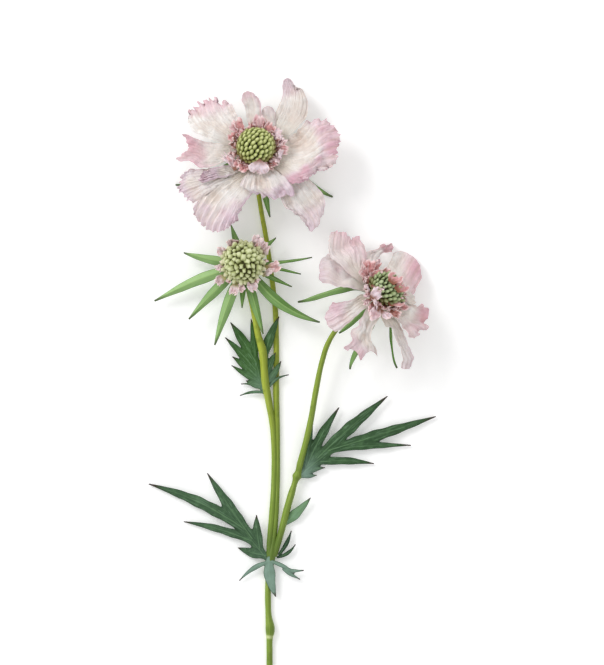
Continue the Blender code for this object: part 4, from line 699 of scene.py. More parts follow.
# Each petal: the rise of its far end along the head's axis, its layer, the raised middle, fine
# folds and their count, the depth of the frill and of the teeth, the half width of its claw, its
# share of mauve, and how far out the blush starts. Its outline is listed counter-clockwise, as
# points seen from above the ring's centre with a lift and a pinkness; two of them are the
# shoulders. Swells are raised or hollow places with a size, a height and a change of pinkness.
PETAL = dict(arch=2.0, folds=0.35, fold_count=9, frill=0.5, teeth=0.2, claw=2.4, mauve=0.3,
             blush_from=0.3)
PINK_PETAL = dict(PETAL, blush_from=0.05)
PETALS = dict(
    bloom_a=[
        dict(PETAL, rise=-1, layer=0.3, shoulders=(4, 12), arch=4, folds=0.45, fold_count=11, frill=0.7,
            teeth=1, mauve=0.15,
            outline=[(-5.9, 10.6, 0, 0.1), (-8.2, 14.7, 0, 0.1), (-9.6, 17.5, 0, 0.1),
            (-11.1, 20.4, 0.3, 0.25), (-12.9, 23.3, 0.8, 0.6), (-15.6, 24.7, 1, 0.8),
            (-18.1, 23.9, 1.2, 0.8), (-20.4, 26.8, 1.8, 0.9), (-22.7, 25.7, 1.5, 0.9),
            (-25.7, 24.9, 1.5, 0.85), (-28.7, 23, 1.5, 0.9), (-31.4, 20.7, 1.2, 0.9),
            (-33.2, 17.5, 0.8, 0.5), (-33.6, 14.6, 0.3, 0.25), (-32.6, 11.3, 0, 0.1),
            (-30.3, 8.4, 0, 0.05), (-26.6, 6.5, 0, 0.05), (-22.5, 4.8, 0, 0.05), (-18.5, 3.8, 0, 0.05),
            (-14.5, 2.5, 0, 0.05)],
            swells=[(-30, 13.5, 3.5, 2.4, -0.4), (-25.4, 9.5, 4, 2.4, -0.4), (-28, 17.5, 2, -1.6, -0.1),
            (-19.7, 6.6, 3.5, 1.4, -0.2), (-22.5, 14.7, 2.5, -1.3, 0), (-17.9, 11.8, 2.5, -1.3, 0),
            (-13.4, 13.5, 3, 0.6, 0), (-26.6, 18.7, 2.5, 1, 0.2), (-20.8, 20.4, 3, 1, 0.2)]),
        dict(PETAL, rise=-3, layer=-0.3, shoulders=(6, 11), arch=3, folds=0.3, fold_count=7, frill=0.4,
            mauve=0.15, blush_from=0.2,
            outline=[(-11.9, 3.8, 0, 0.1), (-16.8, 3.3, 0, 0.1), (-21.4, 3.8, 0, 0.15),
            (-26.6, 4.6, 0.3, 0.3), (-30.9, 6.1, 0.6, 0.6), (-34, 7.7, 1, 0.8), (-36.9, 8.6, 1.2, 0.7),
            (-35.1, 6.1, 0.6, 0.8), (-33.7, 3.2, 0, 0.8), (-34.2, 0.3, 0, 0.8), (-37.2, -1.7, 0.3, 0.8),
            (-39.8, -4.4, 0.8, 0.8), (-37.5, -5.5, 0.5, 0.7), (-33.2, -5.4, 0, 0.7),
            (-30.5, -7.3, 0, 0.7), (-28.3, -9, 0, 0.6), (-23.7, -8.8, 0, 0.5), (-19.7, -7.8, 0, 0.3),
            (-16.8, -6.3, 0, 0.2), (-13.4, -4.9, 0, 0.1)],
            swells=[(-26.6, 0.3, 4.5, -2, 0.1), (-28.3, -4.9, 3.5, 1.2, 0.3), (-18, 1, 3, 1.2, 0.1),
            (-31.1, 3.8, 3.5, 0.8, 0.2), (-19.7, -2, 4, -0.8, -0.2)]),
        dict(PETAL, rise=-6, layer=-0.6, shoulders=(5, 11), arch=1, frill=0.7, teeth=0.5, mauve=0.8,
            outline=[(-9.9, -8.9, 0, 0.1), (-15.6, -8.6, 0, 0.2), (-22.5, -9, 0, 0.3),
            (-28.3, -9.3, 0, 0.4), (-32, -9.2, 0.3, 0.4), (-35.5, -10.9, 0.8, 0.6),
            (-37.5, -13.5, 1, 0.7), (-37.8, -16.9, 1, 0.7), (-38.7, -19.4, 1.2, 0.7),
            (-36, -21.8, 0.6, 0.6), (-34.6, -24.1, 0.6, 0.6), (-31.4, -26, 0.5, 0.5),
            (-28.3, -24.5, 0, 0.3), (-23.7, -21.5, 0, 0.2), (-17.9, -17.5, 0, 0.1),
            (-11.1, -12.9, 0, 0.1)],
            swells=[(-32.9, -14.6, 3, 1, -0.2), (-30.6, -20.3, 3, -1, 0)]),
        dict(PETAL, rise=-1, layer=0.9, shoulders=(4, 6), arch=1.5, folds=0.6, frill=0.9, teeth=0.3,
            claw=1.6, mauve=0.75,
            outline=[(-9.9, -7.1, 0, 0.3), (-14.5, -7.7, 0.5, 0.5), (-18.5, -8.3, 1, 0.8),
            (-22.5, -9.3, 1.5, 0.9), (-26.3, -11.2, 1.5, 0.9), (-28.4, -14, 1.2, 0.9),
            (-27.2, -16, 1, 0.8), (-24, -15.6, 0.8, 0.8), (-20.2, -14.3, 0.6, 0.8),
            (-15.6, -13.5, 0.4, 0.6), (-11.1, -12, 0, 0.3)],
            swells=[(-25.4, -13.5, 2, -1, 0.2), (-20.8, -11.5, 2, 1, 0.3), (-16.8, -11.2, 2, -1, 0)]),
        dict(PETAL, rise=-9, layer=0, shoulders=(8, 16), arch=3, folds=0.65, fold_count=13, frill=0.45,
            teeth=0.3, mauve=0.7,
            outline=[(-8.8, -11.5, 0, 0.05), (-13.4, -12.6, 0, 0.05), (-17.9, -14.3, 0, 0.1),
            (-22.3, -16.9, 0, 0.2), (-25.7, -19.7, 0, 0.3), (-27.2, -22.6, 0.3, 0.3),
            (-29.1, -25.5, 0.4, 0.35), (-30.9, -28.4, 0.5, 0.45), (-30.5, -31.3, 0.3, 0.5),
            (-29.4, -34, 0.2, 0.5), (-27.1, -36.7, 0.2, 0.5), (-24.5, -39, 0.3, 0.5),
            (-20.8, -40.6, 0.4, 0.55), (-17.4, -40.2, 0.4, 0.55), (-14.2, -39, 0.4, 0.5),
            (-12.1, -36.4, 0.3, 0.6), (-10.4, -33.6, 0.4, 0.75), (-7.9, -30.4, 0.6, 0.75),
            (-5.3, -26.7, 0.5, 0.65), (-2.9, -23.2, 0.3, 0.55), (-1.2, -20.3, 0.2, 0.4),
            (-0.1, -16.9, 0, 0.2), (0.4, -13.5, 0, 0.1)],
            swells=[(-9.9, -27.2, 3.5, 1.8, 0.3), (-20.2, -22.6, 3.5, -1.6, -0.2),
            (-13.5, -17.5, 3, -1.6, -0.1), (-24.5, -28.5, 2.5, 1.2, 0.3),
            (-16.5, -30.5, 2.5, -1.4, 0.2), (-11.5, -34, 2, 1.2, 0.2), (-13.4, -33, 3, 1, 0.2)]),
        dict(PETAL, rise=1, layer=0.3, shoulders=(4, 12), arch=6, folds=0.7, fold_count=13, frill=0.7,
            teeth=0.2, mauve=0.85,
            outline=[(-5.3, -12.9, 0, 0.1), (-6.9, -16, 0.2, 0.3), (-7.9, -18.9, 0.5, 0.2),
            (-5, -18.6, 0.3, 0.5), (-2.2, -19.2, 0, 0.7), (0.1, -21.2, 0, 0.7), (3.3, -22.9, 0, 0.7),
            (6.5, -23.9, 0, 0.7), (9.6, -24.4, 0, 0.7), (12.2, -23.7, 0, 0.6), (14.8, -22.2, 0, 0.6),
            (17.4, -23.3, 0.3, 0.8), (19.4, -21.8, 0.8, 0.9), (18.5, -19.5, 1.2, 0.8),
            (16.8, -17.2, 1, 0.5), (14.8, -14.6, 0.5, 0.3), (11.9, -12.3, 0, 0.1)],
            swells=[(2.1, -15.8, 3, -1.6, -0.2), (7.9, -14.6, 3, 1.4, 0.1), (5, -19.5, 1.6, -1.6, 0.3),
            (9.5, -19.8, 1.6, 1.4, 0.3), (12.5, -21, 1.5, -1.5, 0.3), (0, -18.5, 1.6, 1.2, 0.2),
            (13.1, -17.5, 2.5, -1, 0.2)]),
        dict(PETAL, rise=-9, layer=-0.4, shoulders=(7, 13), arch=4, folds=0.3, frill=0.45, teeth=0.15,
            mauve=0.65,
            outline=[(8.5, -14.6, 0, 0.05), (11, -19.2, 0, 0.1), (12.2, -23.2, 0, 0.2),
            (13.1, -26.4, 0.2, 0.3), (15.3, -29.2, 0.3, 0.35), (18.2, -30.6, 0.3, 0.35),
            (21.1, -32.1, 0.2, 0.35), (23.7, -34.1, 0, 0.4), (25.4, -37, -0.5, 0.45),
            (27.1, -40.3, -1, 0.6), (29.4, -39.2, -0.6, 0.5), (31.7, -36.7, 0, 0.4),
            (32.7, -33.3, 0.3, 0.35), (34.2, -29.8, 0.6, 0.4), (34.6, -25.8, 0.8, 0.45),
            (33.3, -22.1, 0.8, 0.4), (30.6, -18.9, 0.6, 0.3), (27.7, -16, 0.4, 0.2),
            (25.1, -13.5, 0.2, 0.15), (20.5, -11.2, 0, 0.1)],
            swells=[(22.2, -22.1, 5, 1.8, -0.2), (27.4, -30.1, 4, -1.8, 0.1),
            (16.5, -19, 3, -1.6, -0.1), (24.5, -26, 2, -1.2, 0), (17.6, -26.1, 3, -0.8, 0.1)]),
        dict(PETAL, rise=2, layer=0.2, shoulders=(8, 19), arch=1, folds=0.45, fold_count=13, frill=1.1,
            teeth=0.4, claw=3.2, mauve=0.35,
            outline=[(9.6, -8.9, 0, 0.1), (13.1, -12.3, 0.5, 0.2), (16.2, -16, 1.5, 0.9),
            (20.5, -16.9, 2, 1), (24, -15.6, 1.8, 0.9), (26.5, -12.9, 1, 0.8), (29.1, -10.9, 0.3, 0.6),
            (32, -10.5, 0, 0.5), (36, -9.6, 0.2, 0.5), (39.3, -6.7, 0.8, 0.55), (40.6, -3.4, 1.2, 0.7),
            (40.4, 0, 1.5, 0.85), (41.3, 3.2, 1.8, 0.8), (41.9, 6.6, 2, 0.75), (40.4, 10.1, 2.2, 0.75),
            (38, 12.8, 2.2, 0.75), (35.2, 14.7, 2, 0.7), (31.7, 15.5, 1.8, 0.7), (28.3, 15.2, 1.4, 0.6),
            (24.8, 14.6, 1, 0.3), (21.7, 11.8, 0.8, 0.05), (18.5, 9.2, 0.5, 0.05), (15.6, 6.6, 0, 0.1)],
            swells=[(19.9, 4.3, 5.5, -3.4, -0.1), (26.8, 6.1, 4, -2, -0.4), (21.5, 9.5, 3, -2.2, -0.2),
            (29.5, -2.5, 4, 1.8, -0.4), (31.5, 11.5, 3, 1.6, 0.1), (33.1, 8.4, 4.5, 1.6, 0.35),
            (37.7, 1.5, 3.5, 0.8, 0.5), (30.8, -4.9, 2.2, 2, 0.7), (25.1, -10, 2.5, 2.2, 0.9),
            (19.9, -14.3, 2.5, 1.8, 0.7), (28, -7.1, 2, -1, 0.2), (22.2, -12.3, 2, -1, 0.4)]),
        dict(PETAL, rise=0, layer=-0.5, shoulders=(9, 12), arch=2, folds=0.4, fold_count=11, frill=0.3,
            teeth=0.1, mauve=0.6,
            outline=[(14.2, 3.8, 0, 0.05), (17.6, 7.8, 0, 0.05), (21.7, 12.4, 0, 0.05),
            (24.6, 15.8, 0.2, 0.1), (25.9, 19.5, 0.4, 0.15), (26.1, 23.6, 0.6, 0.2),
            (24.8, 27.3, 0.8, 0.2), (22.8, 31, 0.8, 0.25), (20.5, 31.9, 0.6, 0.2),
            (18.2, 34.1, 0.6, 0.3), (16.8, 36.6, 1, 0.5), (15.1, 36.4, 1, 0.5), (13.7, 35.6, 0.8, 0.5),
            (13.2, 33, 0.6, 0.5), (13.5, 29, 0.4, 0.4), (12.4, 25, 0.2, 0.2), (10.3, 20.4, 0, 0.1),
            (8.7, 16.4, 0, 0.1), (8.2, 12.9, 0, 0.1)],
            swells=[(21.7, 24.4, 4, 1.6, 0), (16.5, 17.5, 4, -2.2, -0.1), (24.5, 18, 3, -1.4, -0.1),
            (19, 30.5, 3, -1.4, 0.1), (20.5, 16.4, 4, 0.8, 0), (15.3, 29, 3, -0.8, 0.1)]),
        dict(PETAL, rise=3, layer=0.4, shoulders=(4, 8), arch=1, folds=0.2, fold_count=5, frill=0.3,
            teeth=0.1, claw=1.4, mauve=0.25,
            outline=[(3.3, 12.9, 0, 0.2), (3, 16.4, 0.3, 0.6), (2.7, 20.1, 0.6, 0.8),
            (2.3, 23.9, 0.8, 0.85), (0.4, 27.2, 1, 0.8), (-1.4, 29, 1, 0.8), (-3.3, 29.9, 1.2, 0.85),
            (-5.3, 29.7, 1.2, 0.85), (-6.8, 27.6, 1, 0.8), (-7.2, 25.1, 0.8, 0.7),
            (-5.8, 22.4, 0.5, 0.4), (-5.1, 19, 0.3, 0.2), (-4.5, 15.5, 0, 0.2)],
            swells=[(-2.2, 21, 2.2, -1.2, -0.7), (-1.9, 25.6, 2.2, -0.8, -0.3)]),
        dict(PETAL, rise=2, layer=0, shoulders=(2, 6), arch=0, folds=0.2, fold_count=5, frill=0.25,
            teeth=0.1, claw=1.4, mauve=0.85,
            outline=[(9.6, 11.8, 0, 0.1), (9.7, 15.8, 0.2, 0.2), (9.7, 19.3, 0.4, 0.3),
            (7.9, 21.8, 0.5, 0.4), (5.7, 22.4, 0.5, 0.4), (3.4, 21.1, 0.4, 0.4), (3, 18.4, 0.2, 0.3),
            (4.3, 15.2, 0, 0.1)],
            swells=[(6.2, 18.7, 2, 1, 0.1)]),
    ],
    bloom_b=[
        dict(PINK_PETAL, rise=0, layer=0.4, shoulders=(5, 13), arch=3, folds=0.35, fold_count=9,
            frill=0.35, teeth=0.1, mauve=0.15,
            outline=[(-5.8, 10.8, 0, 0.3), (-7.7, 14.3, 0.6, 0.6), (-7.5, 18.7, 1.2, 0.6),
            (-7.9, 22.7, 1.6, 0.6), (-8.4, 25.9, 1.8, 0.7), (-9.7, 28.9, 1.8, 0.85),
            (-11.5, 30.4, 1.5, 0.85), (-13.4, 30.1, 1.2, 0.8), (-14.6, 28.9, 0.8, 0.8),
            (-15.6, 31, 1.2, 0.8), (-18.7, 32.5, 1.2, 0.8), (-21.7, 32.6, 1.2, 0.8),
            (-24, 31.7, 1.2, 0.5), (-24, 29.8, 0.8, 0.4), (-25.6, 27.1, 0.5, 0.25),
            (-26.4, 24.2, 0.3, 0.2), (-26.1, 21.4, 0, 0.2), (-23.9, 18.7, 0, 0.2),
            (-20.2, 15.8, 0, 0.2), (-15.7, 11.8, 0, 0.2), (-11.8, 8.3, 0, 0.1)],
            swells=[(-20.2, 22.7, 4, -1.8, 0), (-13.3, 22.2, 4, 1.6, 0.2), (-22, 28.5, 3, 1.4, 0.1),
            (-16.5, 26.5, 2.2, -1.4, 0.1), (-12, 27, 2.2, -1.2, 0.2), (-14.2, 14.8, 3.5, -1.4, 0),
            (-10.3, 17.7, 2.5, 1.2, 0.1)]),
        dict(PINK_PETAL, rise=-5, layer=-0.3, shoulders=(5, 10), arch=3, folds=0.35, fold_count=9,
            frill=0.4, teeth=0.15, mauve=0.55,
            outline=[(-8.3, 6.9, 0, 0.1), (-12.8, 10.3, 0, 0.2), (-17.7, 14.3, 0, 0.3),
            (-22.1, 18, 0, 0.3), (-25.9, 20.8, 0.2, 0.3), (-28.6, 19.5, 0.3, 0.35),
            (-30.2, 17.2, 0.5, 0.4), (-30.5, 14.5, 0.5, 0.45), (-30.2, 11.8, 0.4, 0.5),
            (-30.6, 8.6, 0.6, 0.55), (-28.6, 6.8, 0.3, 0.5), (-25.6, 5.7, 0.2, 0.4),
            (-22.1, 4.5, 0.1, 0.4), (-18.2, 3.8, 0, 0.35), (-13.7, 3.2, 0, 0.3), (-9.8, 2.8, 0, 0.2)],
            swells=[(-25.1, 12.8, 3.5, 1.4, 0), (-20.2, 8.8, 3.5, -1.5, 0.1),
            (-21, 14, 2.2, -1.5, 0.25), (-15.5, 10.5, 2, -1.2, 0.2), (-16.2, 6.9, 3, 0.8, 0)]),
        dict(PINK_PETAL, rise=-13, layer=0.35, shoulders=(6, 14), arch=4, folds=0.45, fold_count=9,
            frill=0.35, teeth=0.1, mauve=0.35,
            outline=[(-5.8, 0.4, 0, 0.05), (-9.8, 0.9, 0, 0.05), (-13, -1.3, 0, 0.2),
            (-16, -2.9, 0.2, 0.5), (-18.9, -3.5, 0.3, 0.7), (-21.7, -3.7, 0.5, 0.75),
            (-23.7, -3.3, 0.6, 0.75), (-25.1, -4.4, 0.5, 0.7), (-25.5, -6.5, 0.3, 0.6),
            (-27.1, -8.1, 0.3, 0.6), (-27.7, -9.7, 0.3, 0.55), (-27.1, -11.9, 0.2, 0.55),
            (-26.3, -14.3, 0, 0.5), (-24.5, -15.9, 0, 0.4), (-22.5, -17.5, 0, 0.35),
            (-20.6, -16.9, 0, 0.3), (-18.2, -14.9, 0, 0.3), (-15.2, -12.4, 0, 0.25),
            (-12.3, -9.7, 0, 0.2), (-9.3, -7.2, 0, 0.1)],
            swells=[(-20.7, -7, 3.5, 1, 0.3), (-17.2, -10.9, 3, -1, 0.1), (-13.7, -6, 3, -0.8, -0.1)]),
        dict(PINK_PETAL, rise=-17, layer=0.4, shoulders=(7, 16), arch=5, folds=0.35, fold_count=7,
            frill=0.35, teeth=0, mauve=0.2,
            outline=[(-7.3, -6, 0, 0.1), (-9.5, -10.2, 0, 0.3), (-11.3, -12.9, 0, 0.4),
            (-12.7, -15.8, 0.3, 0.4), (-15.2, -17.6, 0.4, 0.4), (-16, -19.8, 0.3, 0.4),
            (-15.1, -22.2, 0, 0.5), (-18.6, -25.4, 1, 0.8), (-16.6, -26.6, 0.3, 0.7),
            (-14.2, -26.2, 0, 0.6), (-12.4, -27.1, 0, 0.6), (-10.9, -29.2, -0.2, 0.8),
            (-10, -31.4, -0.5, 0.9), (-7.9, -29.2, 0, 0.6), (-6.1, -27.3, 0.3, 0.3),
            (-3.8, -27.6, 0.6, 0.3), (-1.5, -29.5, 0.5, 0.4), (-3.4, -26, 0.6, 0.2),
            (-5.2, -24.9, 0.3, 0.15), (-5.8, -22.8, 0.2, 0.1), (-5.7, -19.3, 0.2, 0.1),
            (-4.7, -16.3, 0.1, 0.1), (-2.9, -13.9, 0, 0.1), (-0.9, -10.9, 0, 0.1)],
            swells=[(-7.8, -19.8, 2.5, -2, -0.4), (-12.8, -20.8, 2.5, 1.6, 0.3),
            (-10, -15.5, 2, 1.2, 0), (-9.3, -14.9, 2.5, 0.8, 0), (-5.8, -12.9, 2.5, -1, -0.1)]),
        dict(PINK_PETAL, rise=-15, layer=0, shoulders=(9, 12), arch=5, folds=0.3, fold_count=5,
            frill=0.35, teeth=0.1, claw=1.8, mauve=0.4,
            outline=[(-0.4, -9, 0, 0.05), (0.7, -12.4, 0, 0.05), (2, -15.4, 0, 0.1),
            (4.5, -16.5, 0, 0.2), (6.1, -19.3, 0, 0.2), (7.1, -22.8, 0, 0.25), (8.7, -26.3, 0.2, 0.25),
            (9.7, -29.7, 0.3, 0.25), (10.5, -32.7, 0.3, 0.3), (10.4, -35.5, 0.3, 0.35),
            (12.5, -36, 0.2, 0.35), (14.6, -35.2, 0.3, 0.4), (15.8, -32.7, 0.4, 0.5),
            (16.2, -30.1, 0.4, 0.55), (14.4, -27.7, 0.3, 0.5), (12.9, -25.3, 0.2, 0.4),
            (11.6, -21.8, 0.1, 0.3), (10.2, -18.3, 0, 0.2), (9.4, -15.4, 0, 0.1),
            (8.5, -11.9, 0, 0.05)],
            swells=[(9, -19.8, 2, -0.8, 0), (12.5, -29.7, 2.5, 0.8, 0), (5.5, -12.4, 3, 1, -0.1)]),
        dict(PINK_PETAL, rise=-3, layer=0.3, shoulders=(6, 15), arch=3, folds=0.4, fold_count=7,
            frill=0.7, teeth=0.1, mauve=0.05,
            outline=[(4.1, -8.5, 0, 0.1), (7, -11.4, 0, 0.1), (9.7, -13.7, 0.2, 0.2),
            (11.2, -16.4, 0.4, 0.4), (12.5, -18.3, 0.6, 0.5), (14.2, -20.2, 0.8, 0.5),
            (16.9, -20.9, 0.9, 0.5), (18.8, -19.1, 0.6, 0.5), (19.4, -16.9, 0.3, 0.6),
            (21.6, -16.3, 0.5, 0.6), (23.2, -16.8, 0.9, 0.6), (24.1, -14.6, 0.9, 0.6),
            (23.6, -11.9, 0.4, 0.7), (24.7, -9.4, 1, 0.9), (23.9, -7.2, 1.2, 0.95),
            (22.3, -5.2, 1, 0.95), (20.3, -4.1, 0.9, 0.9), (18.3, -5.4, 0.4, 0.6), (15.9, -5, 0.2, 0.3),
            (13.4, -3.5, 0, 0.2)],
            swells=[(20.4, -7.5, 2.3, 2, 0.6), (17.4, -10.9, 2.3, -2.2, 0.1),
            (22.5, -11.5, 2, -1.6, 0.4), (15, -6.5, 2.2, 1.2, 0), (15.9, -15.4, 2.3, 1.3, 0.2),
            (21.8, -11.4, 2, -1, 0.3), (12.5, -13.9, 2.3, -1, 0.1)]),
        dict(PINK_PETAL, rise=5, layer=-0.2, shoulders=(9, 16), arch=-2, folds=0.25, fold_count=7,
            frill=0.35, teeth=0.12, mauve=0.15,
            outline=[(12.5, -1, 0, 0.2), (14.9, -3.5, 0, 0.1), (16.9, -3.4, 0.2, 0.1),
            (18.3, -2.4, 0.3, 0.1), (16.7, -0.8, 0, 0.2), (16.4, 0.9, 0, 0.4), (18, 2.9, 0.4, 0.7),
            (18.4, 4.9, 0.5, 0.7), (19.9, 7.4, 0.8, 0.75), (21.1, 9.8, 1, 0.75), (20.6, 12.5, 1, 0.75),
            (20.1, 15.3, 1.2, 0.8), (18.6, 18.5, 1.2, 0.75), (16.2, 20.7, 1, 0.6),
            (12.9, 22.7, 0.6, 0.3), (9.9, 23.3, 0.5, 0.15), (7.3, 22.2, 0.3, 0.1),
            (5.9, 19.2, 0.2, 0.05), (4.3, 16.3, 0.1, 0.05), (2.8, 13.3, 0, 0.05)],
            swells=[(16.4, 13.8, 4, 1.6, 0.35), (10.5, 16.3, 4.5, -1.8, -0.1),
            (12.5, 8.5, 3, -1.2, 0.1), (14.4, 6.4, 4, -0.8, 0.2), (9.5, 10.8, 4, 0.8, 0)]),
        dict(PINK_PETAL, rise=2.7, layer=0.1, shoulders=(5, 10), arch=2, folds=0.2, fold_count=5,
            frill=0.4, teeth=0, claw=1.2, mauve=0,
            outline=[(-2.9, 13.8, 0, 0.3), (-2.1, 16.8, 0, 0.3), (-0.9, 19.5, 0, 0.3),
            (1.5, 21.9, 0.5, 0.6), (4.1, 22.4, 0.8, 0.9), (6.1, 22.7, 1, 1), (6.8, 24.8, 1.5, 0.9),
            (6.1, 26.9, 1.8, 0.8), (4.8, 25.5, 1, 0.9), (3.6, 25.3, 1, 0.95), (2.3, 26.9, 1.4, 0.8),
            (0.4, 26.1, 1, 0.7), (-1, 24.1, 0.6, 0.5), (-3.4, 23.2, 0.3, 0.35), (-5.8, 22.6, 0.2, 0.3),
            (-7.5, 21.9, 0.2, 0.4), (-8.1, 18.7, 0, 0.5), (-7.9, 15.3, 0, 0.5)],
            swells=[(3.1, 24.2, 1.8, -1, 0.5), (-3.4, 20.2, 2.2, -0.8, 0.1)]),
        dict(PINK_PETAL, rise=1, layer=0.3, shoulders=(2, 6), arch=1, folds=0.2, fold_count=5,
            frill=0.3, teeth=0, claw=1.4, mauve=0,
            outline=[(-2.6, 12.8, 0, 0.9), (-0.4, 15.3, 0.3, 0.9), (0.6, 17.1, 0.6, 0.9),
            (0.2, 18.7, 0.8, 0.9), (-2.4, 18.7, 0.6, 1), (-4.8, 19, 0.4, 1), (-6.9, 18.7, 0.3, 0.9),
            (-7.9, 16.3, 0.2, 0.8), (-8.1, 13.3, 0, 0.8)],
            swells=[(-3.4, 15.8, 2, -1, 0.2)]),
    ],
)


def disc(radii, low, high, ribs, **values):
    """A flat disc between two heights, with chamfered edges and ribs, that petals or florets leave."""
    heights = [low, low, low + DISC_EDGE, high - DISC_EDGE, high, high]
    return turned(radii, heights, ribs, 0.02, **values)


def petal_patch(head, form, rows, columns):
    """A petal as a grid of points with a pinkness, its outline, and its own root.

    The outline is parted at its shoulders into two sides and an end. The grid is a Coons patch:
    the sides blended across, plus the end blended with the claw along, less the same blend of the
    four corners. An outline point's rise grows with its distance from the root.
    """
    turn = head_turn(head)
    level = sum(PETAL_DISC) / 2 + form["layer"] * PETAL_LAYER_STEP
    outline = np.array(form["outline"])
    first, last = as_seen(head, *outline[0, :2], level), as_seen(head, *outline[-1, :2], level)
    outward = unit((first + last)[:2])
    root = np.array([*(outward * PETAL_START), level])
    reach = np.hypot(*(outline[:, :2] - turn[:2] @ root).T)
    rise = level + (form["rise"] - level) * (reach / reach.max()) ** 1.3 + outline[:, 2]
    places = [as_seen(head, east, north, up) for (east, north), up in zip(outline[:, :2], rise)]
    edge = np.column_stack([places, outline[:, 3]])
    sideways = np.array([-outward[1], outward[0], 0]) * form["claw"]
    right_root, left_root = np.append(root - sideways, 0.0), np.append(root + sideways, 0.0)
    right_shoulder, left_shoulder = form["shoulders"]
    right = smooth_run([right_root, *edge[:right_shoulder + 1]], rows)[:, None]
    left = smooth_run([left_root, *edge[:left_shoulder - 1:-1]], rows)[:, None]
    end = smooth_run(edge[right_shoulder:left_shoulder + 1], columns)[None]
    u, t = np.linspace(0, 1, rows)[:, None, None], np.linspace(0, 1, columns)[None, :, None]
    claw = right[:1] * (1 - t) + left[:1] * t
    corners = (1 - u) * claw + u * (end[:, :1] * (1 - t) + end[:, -1:] * t)
    grid = right * (1 - t) + left * t + (1 - u) * claw + u * end - corners
    free_edge = np.concatenate([right[2:, 0], end[0], left[:1:-1, 0]])
    return grid, free_edge[:, :3], root


def petal_relief(form, u, v, inset, travelled, draw):
    """Folds that run from claw to end, as sharp creases and two waves across with their own phases
    that drift along the petal, and a frill of two waves round the outline that dies away from it."""
    phase = draw.random(6) * 2 * PI
    drift = 0.5 * np.sin(3 * u + phase[0])
    count = form["fold_count"]
    folds = (1.1 - 1.7 * np.abs(np.sin(count * PI * v / 3 + phase[1] + drift)) ** 0.8
             + 0.5 * np.cos(0.61 * count * PI * v + phase[2] - drift)
             + 0.35 * np.cos(1.3 * count * PI * v + phase[3] + 2 * drift))
    frill = (np.sin(2 * PI * travelled / 5.3 + phase[4])
             + 0.6 * np.sin(2 * PI * travelled / 3.1 + phase[5]))
    frill = frill * np.exp(-inset / 2.4) * rising(0.25, 0.6, u)
    return form["folds"] * u * folds + form["frill"] * frill, folds


def crumple(points, draw):
    """Creases of cloth: waves of 2.5 to 9 mm in any direction, each bent by those before."""
    height = 0
    for _ in range(CRUMPLE_WAVES):
        direction = unit(draw.normal(size=3)) * 2 * PI / draw.uniform(2.5, 9.0)
        height = height + CRUMPLE_DEPTH * np.sin(points @ direction + draw.random() * 2 * PI
                                                 + 2.5 * height)
    return height


def petal(head, form, seed):
    """A ray petal in its own place on the ring, with values for its finish."""
    draw = np.random.default_rng(seed)
    around = travel(np.array(form["outline"])[:, :2])[-1]
    rows, columns = FINE_GRID if around > LONG_OUTLINE else COARSE_GRID
    grid, free_edge, root = petal_patch(head, form, rows, columns)
    surface, pink = grid[..., :3], grid[..., 3]
    u, v = spread(rows, columns)
    surface = surface + np.multiply.outer(form["arch"] * 3 * u[:, 0] ** 2 * (1 - u[:, 0]), UP)[:, None]
    near = ((surface.reshape(-1, 1, 3) - free_edge) ** 2).sum(axis=-1)
    closest = np.argmin(near, axis=1)
    inset = np.sqrt(near[np.arange(len(near)), closest]).reshape(rows, columns)
    travelled = travel(free_edge)[closest].reshape(rows, columns)
    relief, folds = petal_relief(form, u, v, inset, travelled, draw)
    relief = relief + crumple(surface, draw) * rising(0.1, 0.4, u)
    seen = surface @ head_turn(head)[:2].T
    pink = pink * rising(form["blush_from"], 1.1, np.maximum(u, np.abs(v))) ** 1.3
    # Painted shade in the fold valleys
    hollow = np.clip(-0.6 * folds * u - 0.15, 0, 1)
    for east, north, size, height, pinker in form["swells"]:
        mound = np.exp(-((seen[..., 0] - east) ** 2 + (seen[..., 1] - north) ** 2) / size ** 2)
        relief = relief + height * mound
        pink = pink + pinker * mound
        # More painted shade in the hollow swells
        hollow = hollow + np.clip(-0.16 * height, 0, 1) * mound
    pink = np.clip(pink, 0, 1)
    teeth = np.sin(2 * PI * travelled / 2.9) + 0.7 * np.sin(2 * PI * travelled / 1.9 + 1)
    teeth = form["teeth"] * teeth * np.exp(-inset / 1.6) * (0.2 + pink) * rising(0.3, 0.7, u) / 25
    surface = surface + (surface - root) * teeth[..., None]
    surface = surface + grid_normal(surface) * relief[..., None]
    thickness = PETAL_SHEET * (0.45 + 0.55 * np.clip(inset / 1.5, 0, 1))
    hollow = np.clip(hollow, 0, 1)
    return on_head(head, shell(surface, thickness, along=u, across=v, blush=pink, hollow=hollow,
                               inset=inset, mauve=form["mauve"], own=draw.random()))


cloth = Finish("petal", Roughness=0.62, Specular_IOR_Level=0.2, Sheen_Weight=0.1, Sheen_Roughness=0.4,
               Subsurface_Weight=0.15, Subsurface_Radius=(1.0, 0.8, 0.7), Subsurface_Scale=0.0015)
along, across, own, inset = cloth.attributes("along", "across", "own", "inset")
blush, mauve, hollow = cloth.attributes("blush", "mauve", "hollow")
veins = cloth.noise(cloth.vector(across * 16.0, along * 1.1, own * 11.0), 1.6, 4.0, 0.6)
clouds = cloth.noise(cloth.place(), 110.0, 3.0)
grain = cloth.noise(cloth.place(), 1800.0, 2.0)
crinkle = (cloth.noise(cloth.vector(across * 7.0, along * 5.0, own * 23.0), 1.5, 3.0) - 0.5).size()
pale_pink = cloth.mix(mauve, colour(0.95, 0.83, 0.85), colour(0.90, 0.82, 0.88))
strong_pink = cloth.mix(mauve, colour(0.89, 0.66, 0.71), colour(0.82, 0.70, 0.78))
claw_share = 1.0 - cloth.rising(0.05, 0.55, along)
uneven = blush + (veins - 0.5) * 0.5 * cloth.rising(0.0, 0.3, blush) + (clouds - 0.5) * 0.35
